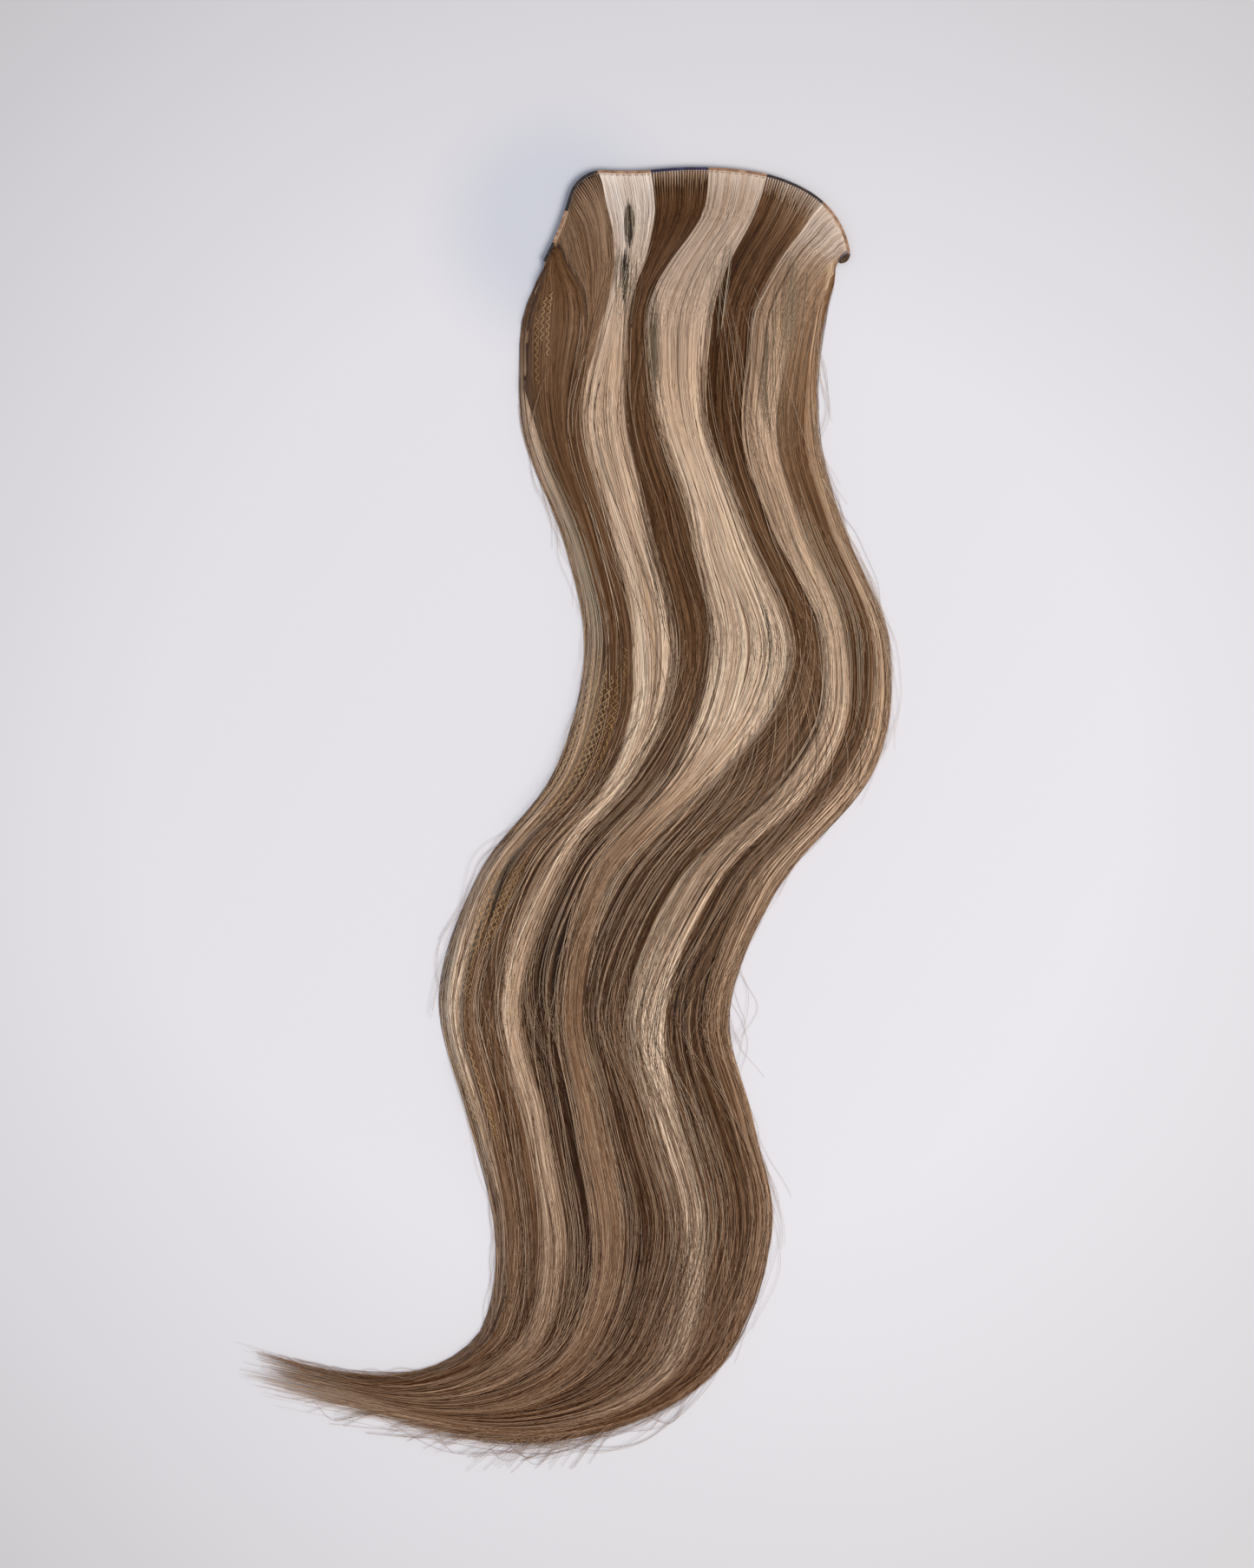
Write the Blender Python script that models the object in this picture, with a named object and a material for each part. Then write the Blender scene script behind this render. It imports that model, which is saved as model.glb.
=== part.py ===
# A hair weft lying in waves: striped hair sewn into a thin thread band.
# It lies on z = 0. +Y points to the band, +X to the right, sizes are in metres.

import math

import bpy
import numpy as np

# Sizes
LAID_LENGTH = 0.450
LAID_WIDTH = 0.226
HAIR_WIDTH = 0.1075
HAIR_DEPTH = 0.0072
LOCK_CROWN = 0.0013
BAND_LENGTH = 0.1405
BAND_WIDTH = 0.0011
BAND_DEPTH = 0.0011
FOLD_LENGTH = 0.0046
TUCK_DEPTH = 0.0006
SKIRT_WIDTH = 0.0022
PIECE_GAP = 0.0003

# The way the hair flows, a row per section across it.
# down is a share of the hair's length, along and across are the section's middle as shares of
# LAID_LENGTH and LAID_WIDTH, lean is in degrees, width and depth are shares of the hair's.
SECTIONS = [
    dict(down=0.097, along=0.879, across=0.659, lean=1.0, width=1.012, depth=0.74),
    dict(down=0.163, along=0.799, across=0.651, lean=0.7, width=0.963, depth=0.86),
    dict(down=0.234, along=0.714, across=0.703, lean=4.4, width=0.895, depth=0.95),
    dict(down=0.312, along=0.622, across=0.756, lean=2.2, width=0.981, depth=1.00),
    dict(down=0.391, along=0.527, across=0.721, lean=0.6, width=1.032, depth=1.00),
    dict(down=0.479, along=0.442, across=0.589, lean=-2.7, width=0.964, depth=0.98),
    dict(down=0.564, along=0.344, across=0.518, lean=-2.6, width=0.936, depth=0.95),
    dict(down=0.643, along=0.250, across=0.561, lean=0.5, width=0.912, depth=0.92),
    dict(down=0.713, along=0.165, across=0.595, lean=0.9, width=0.890, depth=0.88),
    dict(down=0.784, along=0.081, across=0.553, lean=-6.6, width=0.795, depth=0.84),
    dict(down=0.824, along=0.047, across=0.478, lean=-12.3, width=0.721, depth=0.76),
    dict(down=0.871, along=0.030, across=0.370, lean=-18.3, width=0.608, depth=0.64),
    dict(down=0.917, along=0.030, across=0.255, lean=-23.1, width=0.500, depth=0.50),
    dict(down=1.000, along=0.054, across=0.040, lean=-33.0, width=0.270, depth=0.30),
]

# The band's line, a row per arc from its left lower end: length is a share of BAND_LENGTH.
BAND_START = dict(along=0.926, across=0.456, heading=61.3)
BAND_ARCS = [
    dict(length=0.175, turn=13.7),
    dict(length=0.118, turn=-79.7),
    dict(length=0.125, turn=10.6),
    dict(length=0.060, turn=-3.1),
    dict(length=0.186, turn=-11.5),
    dict(length=0.147, turn=-21.7),
    dict(length=0.189, turn=-52.1),
]
FOLD_TURN = -105.0

# The band's thread, a row per colour: length is a share of BAND_LENGTH.
THREADS = [
    dict(name="band_dark_1", length=0.051, colour="2b1f1c"),
    dict(name="band_tan_2", length=0.087, colour="9c7558"),
    dict(name="band_dark_3", length=0.133, colour="2b1f1c"),
    dict(name="band_tan_4", length=0.135, colour="9c7558"),
    dict(name="band_dark_5", length=0.144, colour="231f33"),
    dict(name="band_tan_6", length=0.148, colour="9c7558"),
    dict(name="band_dark_7", length=0.157, colour="2b1f1c"),
    dict(name="band_tan_8", length=0.145, colour="9c7558"),
]

# Where the locks part, a row per station down the hair: each edge is a share of its width there.
# r is a lock's right edge. l1 and l2 are left edges, of which l2 runs beneath lock 1.
EDGE_NAMES = ("down", "l2", "r2", "l1", "r1", "l3", "r3", "r4", "r5", "r6", "r7", "r8")
EDGE_ROWS = [
    (0.000, 0.051, 0.138, 0.000, 0.051, 0.138, 0.271, 0.406, 0.550, 0.698, 0.855, 0.962),
    (0.012, 0.051, 0.138, 0.000, 0.051, 0.138, 0.285, 0.410, 0.550, 0.697, 0.854, 0.965),
    (0.029, 0.040, 0.128, 0.000, 0.045, 0.045, 0.310, 0.415, 0.545, 0.690, 0.850, 0.985),
    (0.058, 0.010, 0.100, 0.000, 0.095, 0.095, 0.280, 0.390, 0.465, 0.650, 0.810, 1.000),
    (0.078, 0.000, 0.080, 0.000, 0.175, 0.175, 0.250, 0.360, 0.420, 0.632, 0.780, 1.000),
    (0.097, 0.000, 0.080, 0.000, 0.210, 0.210, 0.245, 0.345, 0.405, 0.620, 0.755, 1.000),
    (0.130, 0.000, 0.085, 0.010, 0.190, 0.190, 0.232, 0.355, 0.430, 0.620, 0.762, 1.000),
    (0.163, 0.000, 0.105, 0.042, 0.160, 0.160, 0.210, 0.365, 0.460, 0.625, 0.754, 1.000),
    (0.198, 0.000, 0.110, 0.050, 0.136, 0.136, 0.190, 0.345, 0.474, 0.640, 0.744, 1.000),
    (0.234, 0.000, 0.110, 0.050, 0.115, 0.115, 0.162, 0.315, 0.455, 0.652, 0.750, 1.000),
    (0.312, 0.000, 0.115, 0.055, 0.108, 0.108, 0.155, 0.295, 0.410, 0.680, 0.795, 1.000),
    (0.350, 0.000, 0.135, 0.080, 0.125, 0.125, 0.168, 0.280, 0.385, 0.640, 0.790, 1.000),
    (0.391, 0.000, 0.140, 0.085, 0.127, 0.127, 0.168, 0.252, 0.360, 0.535, 0.745, 1.000),
    (0.435, 0.000, 0.145, 0.090, 0.134, 0.134, 0.177, 0.240, 0.342, 0.475, 0.700, 1.000),
    (0.479, 0.000, 0.145, 0.088, 0.145, 0.145, 0.200, 0.270, 0.355, 0.460, 0.665, 1.000),
    (0.564, 0.000, 0.110, 0.050, 0.130, 0.130, 0.200, 0.280, 0.425, 0.500, 0.655, 1.000),
    (0.643, 0.000, 0.090, 0.032, 0.115, 0.115, 0.200, 0.265, 0.385, 0.490, 0.630, 1.000),
    (0.713, 0.000, 0.085, 0.030, 0.095, 0.095, 0.165, 0.260, 0.360, 0.480, 0.645, 1.000),
    (0.784, 0.000, 0.085, 0.030, 0.100, 0.100, 0.165, 0.258, 0.365, 0.490, 0.710, 1.000),
    (0.871, 0.000, 0.090, 0.035, 0.125, 0.125, 0.230, 0.345, 0.470, 0.610, 0.780, 1.000),
    (1.000, 0.000, 0.110, 0.040, 0.170, 0.170, 0.310, 0.450, 0.600, 0.740, 0.870, 1.000),
]

# The locks: the columns of their edges, the share of the length where they end, how high they
# stand against the others, whether they lie over or in the tuck, and the side with a skirt.
LOCKS = [
    dict(name="lock_brown_1", left="l1", right="r1", end=1.000, rise=1.03, layer="over", cells=4,
         skirt="", skirt_from=0.0, colour="6b523c"),
    dict(name="lock_blonde_2", left="l2", right="r2", end=0.980, rise=0.50, layer="tuck", cells=3,
         skirt="left", skirt_from=0.085, colour="b3a08c"),
    dict(name="lock_brown_3", left="l3", right="r3", end=1.000, rise=0.96, layer="over", cells=6,
         skirt="", skirt_from=0.0, colour="6b523c"),
    dict(name="lock_blonde_4", left="r3", right="r4", end=1.000, rise=1.02, layer="row", cells=4,
         skirt="", skirt_from=0.0, colour="c4ab8f"),
    dict(name="lock_brown_5", left="r4", right="r5", end=0.980, rise=0.95, layer="row", cells=4,
         skirt="", skirt_from=0.0, colour="5c432f"),
    dict(name="lock_blonde_6", left="r5", right="r6", end=0.980, rise=1.04, layer="row", cells=4,
         skirt="", skirt_from=0.0, colour="c4ab8f"),
    dict(name="lock_brown_7", left="r6", right="r7", end=0.955, rise=0.96, layer="row", cells=4,
         skirt="", skirt_from=0.0, colour="5c432f"),
    dict(name="lock_blonde_8", left="r7", right="r8", end=0.955, rise=1.00, layer="row", cells=5,
         skirt="right", skirt_from=0.060, colour="bba386"),
]

# Stations of the solids down the hair, and shares of the hair's depth
STATIONS = [0.0, 0.006, 0.012, 0.020, 0.029, 0.040, 0.052, 0.065, 0.080]
STATION_STEP = 0.0242
UNDER_SHARE = 0.34
UNDER_END = 0.90
EDGE_SHARE = 0.42
TIP_LENGTH = 0.075
TIP_WIDTH = 0.50
TIP_DEPTH = 0.35


def clear_scene():
    for item in list(bpy.data.objects):
        bpy.data.objects.remove(item, do_unlink=True)


def linear(hex_colour):
    values = [int(hex_colour[i:i + 2], 16) / 255 for i in (0, 2, 4)]
    return [v / 12.92 if v <= 0.04045 else ((v + 0.055) / 1.055) ** 2.4 for v in values]


def make_piece(name, points, faces, colour, roughness):
    mesh = bpy.data.meshes.new(name)
    mesh.from_pydata([tuple(p) for p in points], [], faces)
    mesh.validate()
    material = bpy.data.materials.new(name)
    material.use_nodes = True
    shader = material.node_tree.nodes["Principled BSDF"]
    shader.inputs["Base Color"].default_value = (*linear(colour), 1)
    shader.inputs["Roughness"].default_value = roughness
    shader.inputs["Metallic"].default_value = 0.0
    mesh.materials.append(material)
    mesh.polygons.foreach_set("use_smooth", [True] * len(mesh.polygons))
    mesh.set_sharp_from_angle(angle=math.radians(50))
    mesh.update()
    piece = bpy.data.objects.new(name, mesh)
    bpy.context.scene.collection.objects.link(piece)
    return piece


def slopes(knots, values):
    # Slopes of a curve through the values that never swings past them
    steps = np.diff(knots)
    rates = np.diff(values) / steps
    result = np.zeros(len(values))
    for i in range(1, len(values) - 1):
        if rates[i - 1] * rates[i] > 0:
            first = 2 * steps[i] + steps[i - 1]
            second = steps[i] + 2 * steps[i - 1]
            result[i] = (first + second) / (first / rates[i - 1] + second / rates[i])
    result[0] = rates[0]
    result[-1] = rates[-1]
    return result


def soft_slopes(knots, values):
    # Slopes of a rounder curve through the values
    result = np.zeros(len(values))
    result[1:-1] = (values[2:] - values[:-2]) / (knots[2:] - knots[:-2])
    result[0] = (values[1] - values[0]) / (knots[1] - knots[0])
    result[-1] = (values[-1] - values[-2]) / (knots[-1] - knots[-2])
    return result


def curve_at(knots, values, rates, where):
    i = int(np.clip(np.searchsorted(knots, where, side="right") - 1, 0, len(knots) - 2))
    step = knots[i + 1] - knots[i]
    t = (where - knots[i]) / step
    start = (2 * t - 3) * t * t + 1
    lead = ((t - 2) * t + 1) * t * step
    finish = (3 - 2 * t) * t * t
    trail = (t - 1) * t * t * step
    return start * values[i] + lead * rates[i] + finish * values[i + 1] + trail * rates[i + 1]


def ramp(where, reach):
    t = min(max(where / reach, 0.0), 1.0)
    return t * t * (3 - 2 * t)


class Band:
    # The band's line as a chain of arcs
    def __init__(self):
        self.rows = []
        x = (BAND_START["across"] - 0.5) * LAID_WIDTH
        y = (BAND_START["along"] - 0.5) * LAID_LENGTH
        heading = math.radians(BAND_START["heading"])
        total = sum(arc["length"] for arc in BAND_ARCS)
        done = 0.0
        for arc in BAND_ARCS:
            length = arc["length"] / total * BAND_LENGTH
            turn = math.radians(arc["turn"])
            self.rows.append((done, length, x, y, heading, turn))
            x, y, heading = self.step(x, y, heading, turn / length, length)
            done += length

    @staticmethod
    def step(x, y, heading, bend, length):
        ahead = heading + bend * length
        x += (math.sin(ahead) - math.sin(heading)) / bend
        y -= (math.cos(ahead) - math.cos(heading)) / bend
        return x, y, ahead

    def at(self, share):
        # Point and heading at a share of the band's length
        distance = share * BAND_LENGTH
        for done, length, x, y, heading, turn in self.rows:
            if distance <= done + length + 1e-12:
                break
        return self.step(x, y, heading, turn / length, distance - done)

    def beside(self, share, inward):
        # Point at a distance from the line, towards the hair, and the way towards the hair
        x, y, heading = self.at(share)
        side = np.array([math.sin(heading), -math.cos(heading)])
        return np.array([x, y]) + side * inward, side


class Flow:
    # Where the hair lies: a plan point for each share down it and each share across it
    def __init__(self, band):
        self.band = band
        self.knots = np.array([row["down"] for row in SECTIONS])
        self.left = []
        self.right = []
        for row in SECTIONS:
            middle = np.array([(row["across"] - 0.5) * LAID_WIDTH, (row["along"] - 0.5) * LAID_LENGTH])
            lean = math.radians(row["lean"])
            half = np.array([math.cos(lean), math.sin(lean)]) * row["width"] * HAIR_WIDTH / 2
            self.left.append(middle - half)
            self.right.append(middle + half)
        self.left = np.array(self.left)
        self.right = np.array(self.right)
        self.rates_left = np.stack([soft_slopes(self.knots, self.left[:, k]) for k in (0, 1)], 1)
        self.rates_right = np.stack([soft_slopes(self.knots, self.right[:, k]) for k in (0, 1)], 1)
        depths = np.array([row["depth"] for row in SECTIONS]) * HAIR_DEPTH
        self.depths = depths
        self.depth_rates = slopes(self.knots, depths)
        table = np.array(EDGE_ROWS)
        self.edge_knots = table[:, 0]
        self.edges = {name: (table[:, i], slopes(table[:, 0], table[:, i]))
                      for i, name in enumerate(EDGE_NAMES) if i}

    def edge(self, name, down):
        values, rates = self.edges[name]
        return float(curve_at(self.edge_knots, values, rates, down))

    def point(self, down, share, inset=0.0):
        first = self.knots[0]
        if down >= first:
            left = [curve_at(self.knots, self.left[:, k], self.rates_left[:, k], down) for k in (0, 1)]
            right = [curve_at(self.knots, self.right[:, k], self.rates_right[:, k], down) for k in (0, 1)]
            return np.array(left) * (1 - share) + np.array(right) * share
        root, side = self.band.beside(share, BAND_WIDTH / 2 + PIECE_GAP + inset)
        below = self.left[0] * (1 - share) + self.right[0] * share
        rate = self.rates_left[0] * (1 - share) + self.rates_right[0] * share
        reach = np.linalg.norm(below - root)
        lead = reach * (0.4 + 0.6 * ramp(share, 0.15))
        t = down / first
        return ((2 * t - 3) * t * t + 1) * root + ((t - 2) * t + 1) * t * side * lead \
            + (3 - 2 * t) * t * t * below + (t - 1) * t * t * rate * first

    def width(self, down):
        return float(np.linalg.norm(self.point(down, 1.0) - self.point(down, 0.0)))

    def depth(self, down):
        if down >= self.knots[0]:
            return float(curve_at(self.knots, self.depths, self.depth_rates, down))
        start = 2 * BAND_DEPTH + PIECE_GAP
        return start + (self.depths[0] - start) * ramp(down, self.knots[0])

    def under_top(self, down):
        start = BAND_DEPTH
        first = self.knots[0]
        full = UNDER_SHARE * self.depth(max(down, first))
        return start + (full - start) * ramp(down, first)


def volume(points, faces):
    total = 0.0
    for face in faces:
        a = np.array(points[face[0]])
        for j in range(1, len(face) - 1):
            total += np.dot(a, np.cross(points[face[j]], points[face[j + 1]])) / 6
    return total


def end_faces(count, top):
    # A strip of faces between the top of a ring and its bottom
    faces = []
    i = 0
    j = 0
    below = count - top
    while i < top - 1 or j < below - 1:
        if j == below - 1 or (i < top - 1 and (i + 1) * (below - 1) <= (j + 1) * (top - 1)):
            faces.append((i, i + 1, count - 1 - j))
            i += 1
        else:
            faces.append((i, count - 2 - j, count - 1 - j))
            j += 1
    return faces


def loft(rings, top):
    # A closed body, facing out, through rings that run along their top and back along their bottom
    points = [point for ring in rings for point in ring]
    count = len(rings[0])
    ends = end_faces(count, top)
    faces = list(ends)
    for i in range(len(rings) - 1):
        a = i * count
        b = a + count
        for j in range(count):
            k = (j + 1) % count
            faces.append((a + j, b + j, b + k, a + k))
    last = (len(rings) - 1) * count
    faces += [tuple(last + i for i in face[::-1]) for face in ends]
    if volume(points, faces) < 0:
        faces = [face[::-1] for face in faces]
    return points, faces


def stations(end):
    # Every piece of hair uses the same stations, as far as its own end
    count = int(round((1.0 - STATIONS[-1]) / STATION_STEP))
    step = (1.0 - STATIONS[-1]) / count
    lower = [STATIONS[-1] + step * (i + 1) for i in range(count)]
    return STATIONS + [down for down in lower if down < end + 0.001]


def hair_top(flow, down, share, rise):
    # The top of the hair as a whole: lower at its two long edges
    side = min(abs(2 * share - 1), 1.0)
    fall = 1 - (1 - EDGE_SHARE) * side ** 5 * ramp(down, 0.05)
    return flow.depth(down) * fall * (1 + (rise - 1) * ramp(down, 0.1))


def lock_ring(flow, lock, down):
    # One ring of a lock: along its top from left to right, then back along its bottom
    left = flow.edge(lock["left"], down)
    right = flow.edge(lock["right"], down)
    width = flow.width(down)
    near = 0.85 * PIECE_GAP / width
    left += near if left > 0.0005 else 0.0
    right -= near if right < 0.9995 else 0.0
    end = stations(lock["end"])[-1]
    tip = ramp(down - (end - TIP_LENGTH), TIP_LENGTH)
    middle = (left + right) / 2
    left = middle + (left - middle) * (1 - (1 - TIP_WIDTH) * tip)
    right = middle + (right - middle) * (1 - (1 - TIP_WIDTH) * tip)
    floor = (flow.under_top(down) + PIECE_GAP) * (1 - ramp(down - UNDER_END, 0.05))
    raised = ramp(down, 0.010)
    crown = LOCK_CROWN * ramp(down, 0.06)
    if lock["layer"] == "over":
        floor += raised * (TUCK_DEPTH + PIECE_GAP)
    cells = lock["cells"]
    top = []
    for i in range(cells + 1):
        v = i / cells
        v = 0.5 - 0.5 * math.cos(math.pi * v) * (1 - 0.3 * (1 - abs(2 * v - 1)))
        share = left + (right - left) * v
        if lock["layer"] == "tuck":
            height = floor + BAND_DEPTH + (TUCK_DEPTH - BAND_DEPTH) * raised
        else:
            full = hair_top(flow, down, share, lock["rise"]) - crown * abs(2 * v - 1) ** 2.2
            height = max(full, floor + 0.4 * BAND_DEPTH)
        height = floor + (height - floor) * (1 - (1 - TIP_DEPTH) * tip)
        top.append((share, height))
    bottom = [(share, floor) for share, height in reversed(top)]
    skirt = SKIRT_WIDTH / width * (1 - 0.7 * tip)
    drop = floor * (1 - ramp(down - lock["skirt_from"], 0.03))
    if lock["skirt"] == "right":
        inner = [p for p in bottom[1:] if p[0] < right - skirt * 1.2]
        while len(inner) < cells:
            inner.insert(0, ((inner[0][0] + right - skirt) / 2, floor))
        bottom = [(right, drop), (right - skirt, drop), (right - skirt, floor)] + inner
    if lock["skirt"] == "left":
        inner = [p for p in bottom[:-1] if p[0] > left + skirt * 1.2]
        while len(inner) < cells:
            inner.append(((inner[-1][0] + left + skirt) / 2, floor))
        bottom = inner + [(left + skirt, floor), (left + skirt, drop), (left, drop)]
    return [(*flow.point(down, share), height) for share, height in top + bottom]


def make_locks(flow):
    for lock in LOCKS:
        rings = [lock_ring(flow, lock, down) for down in stations(lock["end"])]
        make_piece(lock["name"], *loft(rings, lock["cells"] + 1), lock["colour"], 0.55)


def make_under_lock(flow):
    # Back row of hair, flat on its underside, hidden but for its edges
    cells = 6
    rings = []
    end = stations(UNDER_END)[-1]
    for down in stations(end):
        width = flow.width(down)
        tip = ramp(down - (end - TIP_LENGTH), TIP_LENGTH)
        side = (SKIRT_WIDTH + PIECE_GAP) / width + 0.03 * (1 - ramp(down, 0.05))
        left = side + 0.35 * tip
        right = 1 - side - 0.35 * tip
        height = flow.under_top(down) * (1 - (1 - TIP_DEPTH) * tip)
        shares = [left + (right - left) * i / cells for i in range(cells + 1)]
        inset = BAND_WIDTH * 1.5 + PIECE_GAP
        plan = [flow.point(down, share, inset) for share in shares]
        ring = [(*p, height) for p in plan] + [(*p, 0.0) for p in reversed(plan)]
        rings.append(ring)
    make_piece("lock_under", *loft(rings, cells + 1), "5c432f", 0.55)


def band_ring(point, side, low, high, width):
    # A ring of the band: a flat strip with a small bevel on its long edges
    bevel = min(width, high - low) * 0.15
    corners = [
        (-width / 2, high - bevel), (-width / 2 + bevel, high),
        (width / 2 - bevel, high), (width / 2, high - bevel),
        (width / 2, low + bevel), (width / 2 - bevel, low),
        (-width / 2 + bevel, low), (-width / 2, low + bevel),
    ]
    return [(point[0] + side[0] * s, point[1] + side[1] * s, z) for s, z in corners]


def make_band(band):
    low = BAND_DEPTH + PIECE_GAP
    high = low + BAND_DEPTH
    near = PIECE_GAP / BAND_LENGTH / 2
    total = sum(thread["length"] for thread in THREADS)
    start = 0.0
    for index, thread in enumerate(THREADS):
        finish = start + thread["length"] / total
        first = start + (near if index else 0)
        last = finish - near
        steps = max(3, int(round((last - first) * BAND_LENGTH / 0.0026)))
        rings = []
        for i in range(steps + 1):
            point, side = band.beside(first + (last - first) * i / steps, 0.0)
            rings.append(band_ring(point, side, low, high, BAND_WIDTH))
        make_piece(thread["name"], *loft(rings, 4), thread["colour"], 0.6)
        start = finish


def make_fold(band):
    # The end of the band turns back under itself
    x, y, heading = band.at(1.0)
    low = BAND_DEPTH + PIECE_GAP
    bend = math.radians(FOLD_TURN) / FOLD_LENGTH
    steps = 9
    rings = []
    for i in range(steps + 1):
        t = i / steps
        px, py, ahead = Band.step(x, y, heading, bend, PIECE_GAP / 2 + FOLD_LENGTH * t)
        side = np.array([math.sin(ahead), -math.cos(ahead)])
        sink = low * ramp(t, 1.0)
        rings.append(band_ring((px, py), side, low - sink, low - sink + BAND_DEPTH, BAND_WIDTH))
    make_piece("band_fold", *loft(rings, 4), "3a2e22", 0.6)


def make_under_band(band):
    # The back row's band, plain, beneath the roots of the front row
    rings = []
    steps = 40
    first = 0.035
    last = 0.965
    for i in range(steps + 1):
        share = first + (last - first) * i / steps
        point, side = band.beside(share, BAND_WIDTH * 1.5)
        rings.append(band_ring(point, side, 0.0, BAND_DEPTH, BAND_WIDTH))
    make_piece("band_under", *loft(rings, 4), "2b1f1c", 0.6)


def centre_plan():
    # The origin is the middle of the whole in plan
    low = np.array([1e9, 1e9])
    high = -low
    for item in bpy.data.objects:
        for vertex in item.data.vertices:
            low = np.minimum(low, vertex.co[:2])
            high = np.maximum(high, vertex.co[:2])
    shift = (low + high) / 2
    for item in bpy.data.objects:
        for vertex in item.data.vertices:
            vertex.co.x -= shift[0]
            vertex.co.y -= shift[1]
        item.data.update()


clear_scene()
weft_band = Band()
weft_flow = Flow(weft_band)
make_band(weft_band)
make_fold(weft_band)
make_under_band(weft_band)
make_locks(weft_flow)
make_under_lock(weft_flow)
centre_plan()
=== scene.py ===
import math

import bpy
import numpy as np
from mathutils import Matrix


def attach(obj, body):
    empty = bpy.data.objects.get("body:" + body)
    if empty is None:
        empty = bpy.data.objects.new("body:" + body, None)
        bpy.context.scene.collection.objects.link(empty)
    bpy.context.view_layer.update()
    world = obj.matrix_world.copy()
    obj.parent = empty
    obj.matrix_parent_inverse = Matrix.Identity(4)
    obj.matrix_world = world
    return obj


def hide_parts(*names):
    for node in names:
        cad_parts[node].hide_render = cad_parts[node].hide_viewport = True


# A hair weft lying in waves: striped human hair sewn into a thin band of wound thread.
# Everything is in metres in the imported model's frame: it lies on z = 0, +Y points to the band.
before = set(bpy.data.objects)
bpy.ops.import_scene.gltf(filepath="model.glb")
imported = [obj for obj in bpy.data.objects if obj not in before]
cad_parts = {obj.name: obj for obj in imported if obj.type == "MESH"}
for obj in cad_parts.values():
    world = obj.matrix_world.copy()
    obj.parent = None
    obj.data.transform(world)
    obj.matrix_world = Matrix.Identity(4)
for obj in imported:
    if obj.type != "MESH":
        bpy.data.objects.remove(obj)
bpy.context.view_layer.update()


# Band, front row.
# Polyester sewing thread is wound tightly round the roots of the hair, and its colour changes
# with the stripes: dark brown, tan and navy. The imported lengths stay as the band's core, and
# each turn of thread round them is a ring of its own.

LAID_LENGTH = 0.450
LAID_WIDTH = 0.226
CENTRE = np.array([0.001508, -0.001048])
BAND_LENGTH = 0.1405
BAND_WIDTH = 0.0011
BAND_DEPTH = 0.0011
PIECE_GAP = 0.0003
FOLD_LENGTH = 0.0046
FOLD_TURN = -105.0
BAND_START = dict(along=0.926, across=0.456, heading=61.3)
BAND_ARCS = [
    dict(length=0.175, turn=13.7),
    dict(length=0.118, turn=-79.7),
    dict(length=0.125, turn=10.6),
    dict(length=0.060, turn=-3.1),
    dict(length=0.186, turn=-11.5),
    dict(length=0.147, turn=-21.7),
    dict(length=0.189, turn=-52.1),
]
THREADS = [
    dict(node="band_dark_1", length=0.051, thread="dark"),
    dict(node="band_tan_2", length=0.087, thread="tan"),
    dict(node="band_dark_3", length=0.133, thread="dark"),
    dict(node="band_tan_4", length=0.135, thread="tan"),
    dict(node="band_dark_5", length=0.144, thread="navy"),
    dict(node="band_tan_6", length=0.148, thread="tan"),
    dict(node="band_dark_7", length=0.157, thread="dark"),
    dict(node="band_tan_8", length=0.145, thread="tan"),
]
THREAD_THICKNESS = 0.00030
THREAD_PITCH = 0.00044
THREAD_CORNER = 0.00036
THREAD_PROUD = 0.00004
THREAD_LEAN = 14.0
THREAD_POINTS = 24
# Each thread leaves this share of the band free at both its ends
THREAD_INSET = 0.0016


def linear(hex_colour):
    values = [int(hex_colour[i:i + 2], 16) / 255 for i in (0, 2, 4)]
    values = [v / 12.92 if v <= 0.04045 else ((v + 0.055) / 1.055) ** 2.4 for v in values]
    return (*values, 1.0)


def add_node(tree, kind, values=None, links=None, **settings):
    # One node, with its settings, the values of its sockets and the links into them
    node = tree.nodes.new(kind)
    for name, value in settings.items():
        setattr(node, name, value)
    for name, value in (values or {}).items():
        node.inputs[name].default_value = value
    for name, socket in (links or {}).items():
        tree.links.new(socket, node.inputs[name])
    return node


def new_material(name, roughness, **values):
    # A material with its shader in place: returns it, its tree and the shader
    material = bpy.data.materials.new(name)
    material.use_nodes = True
    tree = material.node_tree
    tree.nodes.clear()
    shader = add_node(tree, "ShaderNodeBsdfPrincipled", dict(values, Roughness=roughness))
    add_node(tree, "ShaderNodeOutputMaterial", links={"Surface": shader.outputs["BSDF"]})
    return material, tree, shader


def add_ramp(tree, share, colours):
    # A ramp of even steps of colour, dark to light, read at a share from 0 to 1
    ramp = add_node(tree, "ShaderNodeValToRGB", links={"Fac": share})
    elements = ramp.color_ramp.elements
    while len(elements) < len(colours):
        elements.new(0.5)
    for i, colour in enumerate(colours):
        elements[i].position = i / (len(colours) - 1)
        elements[i].color = linear(colour)
    return ramp.outputs["Color"]


def link_surface(tree, shader, colour, height, strength, distance):
    # Gives a shader its colour and fine bumps of this height
    tree.links.new(colour, shader.inputs["Base Color"])
    bump = add_node(
        tree, "ShaderNodeBump", dict(Strength=strength, Distance=distance), {"Height": height})
    tree.links.new(bump.outputs["Normal"], shader.inputs["Normal"])


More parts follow.
